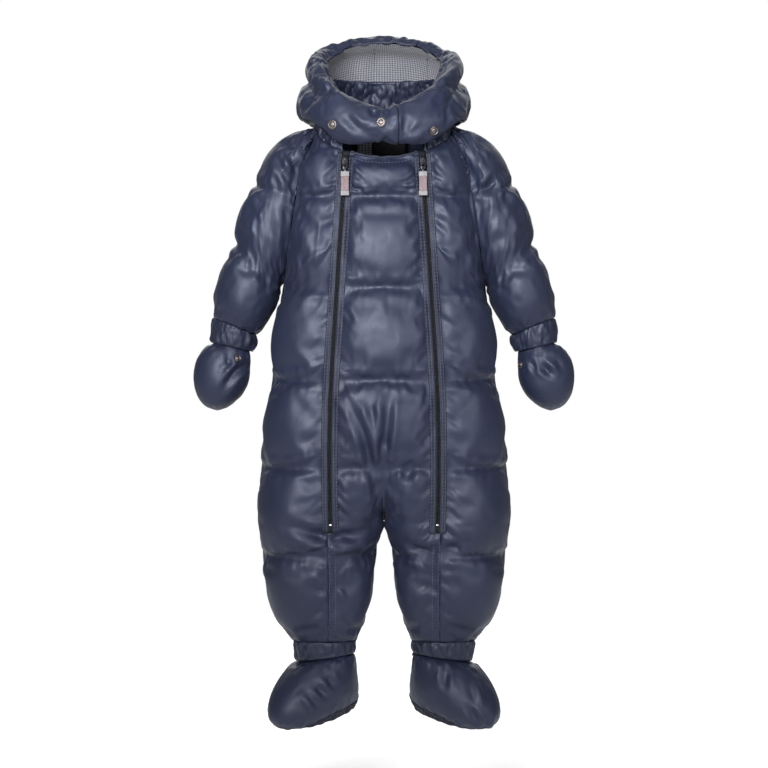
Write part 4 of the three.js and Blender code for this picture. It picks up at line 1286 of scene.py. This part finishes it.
class SNOWSUIT_OT_stage(bpy.types.Operator):
    """Pale round floor, white surroundings, soft light and the camera"""
    bl_idname = "snowsuit.stage"
    bl_label = "Stage"

    def execute(self, context):
        scene = context.scene
        world = bpy.data.worlds.new("Studio")
        world.use_nodes = True
        tree = world.node_tree
        tree.nodes.clear()
        soft = tree.nodes.new("ShaderNodeBackground")
        soft.inputs["Strength"].default_value = SOFT_LIGHT
        paper = tree.nodes.new("ShaderNodeBackground")
        for node in (soft, paper):
            node.inputs["Color"].default_value = (1, 1, 1, 1)
        seen = tree.nodes.new("ShaderNodeLightPath")
        both = tree.nodes.new("ShaderNodeMixShader")
        output = tree.nodes.new("ShaderNodeOutputWorld")
        tree.links.new(seen.outputs["Is Camera Ray"], both.inputs[0])
        tree.links.new(soft.outputs[0], both.inputs[1])
        tree.links.new(paper.outputs[0], both.inputs[2])
        tree.links.new(both.outputs[0], output.inputs["Surface"])
        scene.world = world
        scene.view_settings.view_transform = "Standard"
        deselect()
        bpy.ops.mesh.primitive_circle_add(vertices=96, radius=FLOOR_RADIUS, fill_type="NGON")
        floor = context.object
        floor.name = "floor"
        floor.data.transform(Matrix.Translation((0, 0, FLOOR_Z)))
        tree = Tree("pale_floor")
        tree.set(
            Base_Color=tree.mix(tree.range(tree.noise(3), 0, 1), rgba((0.93,) * 3), rgba((0.95,) * 3)),
            Roughness=0.95,
            Specular_IOR_Level=0.0,
            Emission_Color=(1, 1, 1, 1),
            Emission_Strength=FLOOR_GLOW,
        )
        floor.data.materials.append(tree.material)
        for name, values in LIGHTS.items():
            self.light(name, *values)
        camera = bpy.data.cameras.new("Camera")
        camera.lens = LENS
        camera.clip_end = 30
        holder = bpy.data.objects.new("Camera", camera)
        holder.location = CAMERA_PLACE
        holder.rotation_euler = (math.pi / 2, 0, 0)
        scene.collection.objects.link(holder)
        scene.camera = holder
        return {"FINISHED"}

    def light(self, name, place, size, power, target, spread):
        light = bpy.data.lights.new(name, "AREA")
        light.shape = "RECTANGLE"
        light.size = size
        light.size_y = size * 0.75
        light.energy = power
        light.spread = math.radians(spread)
        holder = bpy.data.objects.new(name, light)
        holder.location = place
        holder.rotation_euler = (Vector(target) - Vector(place)).to_track_quat("-Z", "Y").to_euler()
        bpy.context.scene.collection.objects.link(holder)


class SNOWSUIT_PT_panel(bpy.types.Panel):
    """Steps and values of the snowsuit"""
    bl_label = "Snowsuit"
    bl_idname = "SNOWSUIT_PT_panel"
    bl_space_type = "VIEW_3D"
    bl_region_type = "UI"
    bl_category = "Snowsuit"

    def draw(self, context):
        for step in STEPS:
            self.layout.operator(step.bl_idname)
        for group in (context.scene.snowsuit_sizes, context.scene.snowsuit_colours):
            for key in group.__annotations__:
                self.layout.prop(group, key)


STEPS = (
    SNOWSUIT_OT_stage,
    SNOWSUIT_OT_padding,
    SNOWSUIT_OT_gathers,
    SNOWSUIT_OT_soles,
    SNOWSUIT_OT_lining,
    SNOWSUIT_OT_zips,
    SNOWSUIT_OT_sliders,
    SNOWSUIT_OT_pulls,
    SNOWSUIT_OT_snaps,
    SNOWSUIT_OT_sewing,
)
CLASSES = (SnowsuitSizes, SnowsuitColours, *STEPS, SNOWSUIT_PT_panel)


def register():
    for made in CLASSES:
        bpy.utils.register_class(made)
    bpy.types.Scene.snowsuit_sizes = bpy.props.PointerProperty(type=SnowsuitSizes)
    bpy.types.Scene.snowsuit_colours = bpy.props.PointerProperty(type=SnowsuitColours)


def unregister():
    del bpy.types.Scene.snowsuit_colours
    del bpy.types.Scene.snowsuit_sizes
    for made in reversed(CLASSES):
        bpy.utils.unregister_class(made)


def main():
    register()
    bpy.ops.snowsuit.stage()
    bpy.ops.snowsuit.padding()
    bpy.ops.snowsuit.gathers()
    bpy.ops.snowsuit.soles()
    bpy.ops.snowsuit.lining()
    bpy.ops.snowsuit.zips()
    bpy.ops.snowsuit.sliders()
    bpy.ops.snowsuit.pulls()
    bpy.ops.snowsuit.snaps()
    bpy.ops.snowsuit.sewing()


if __name__ == "__main__":
    main()
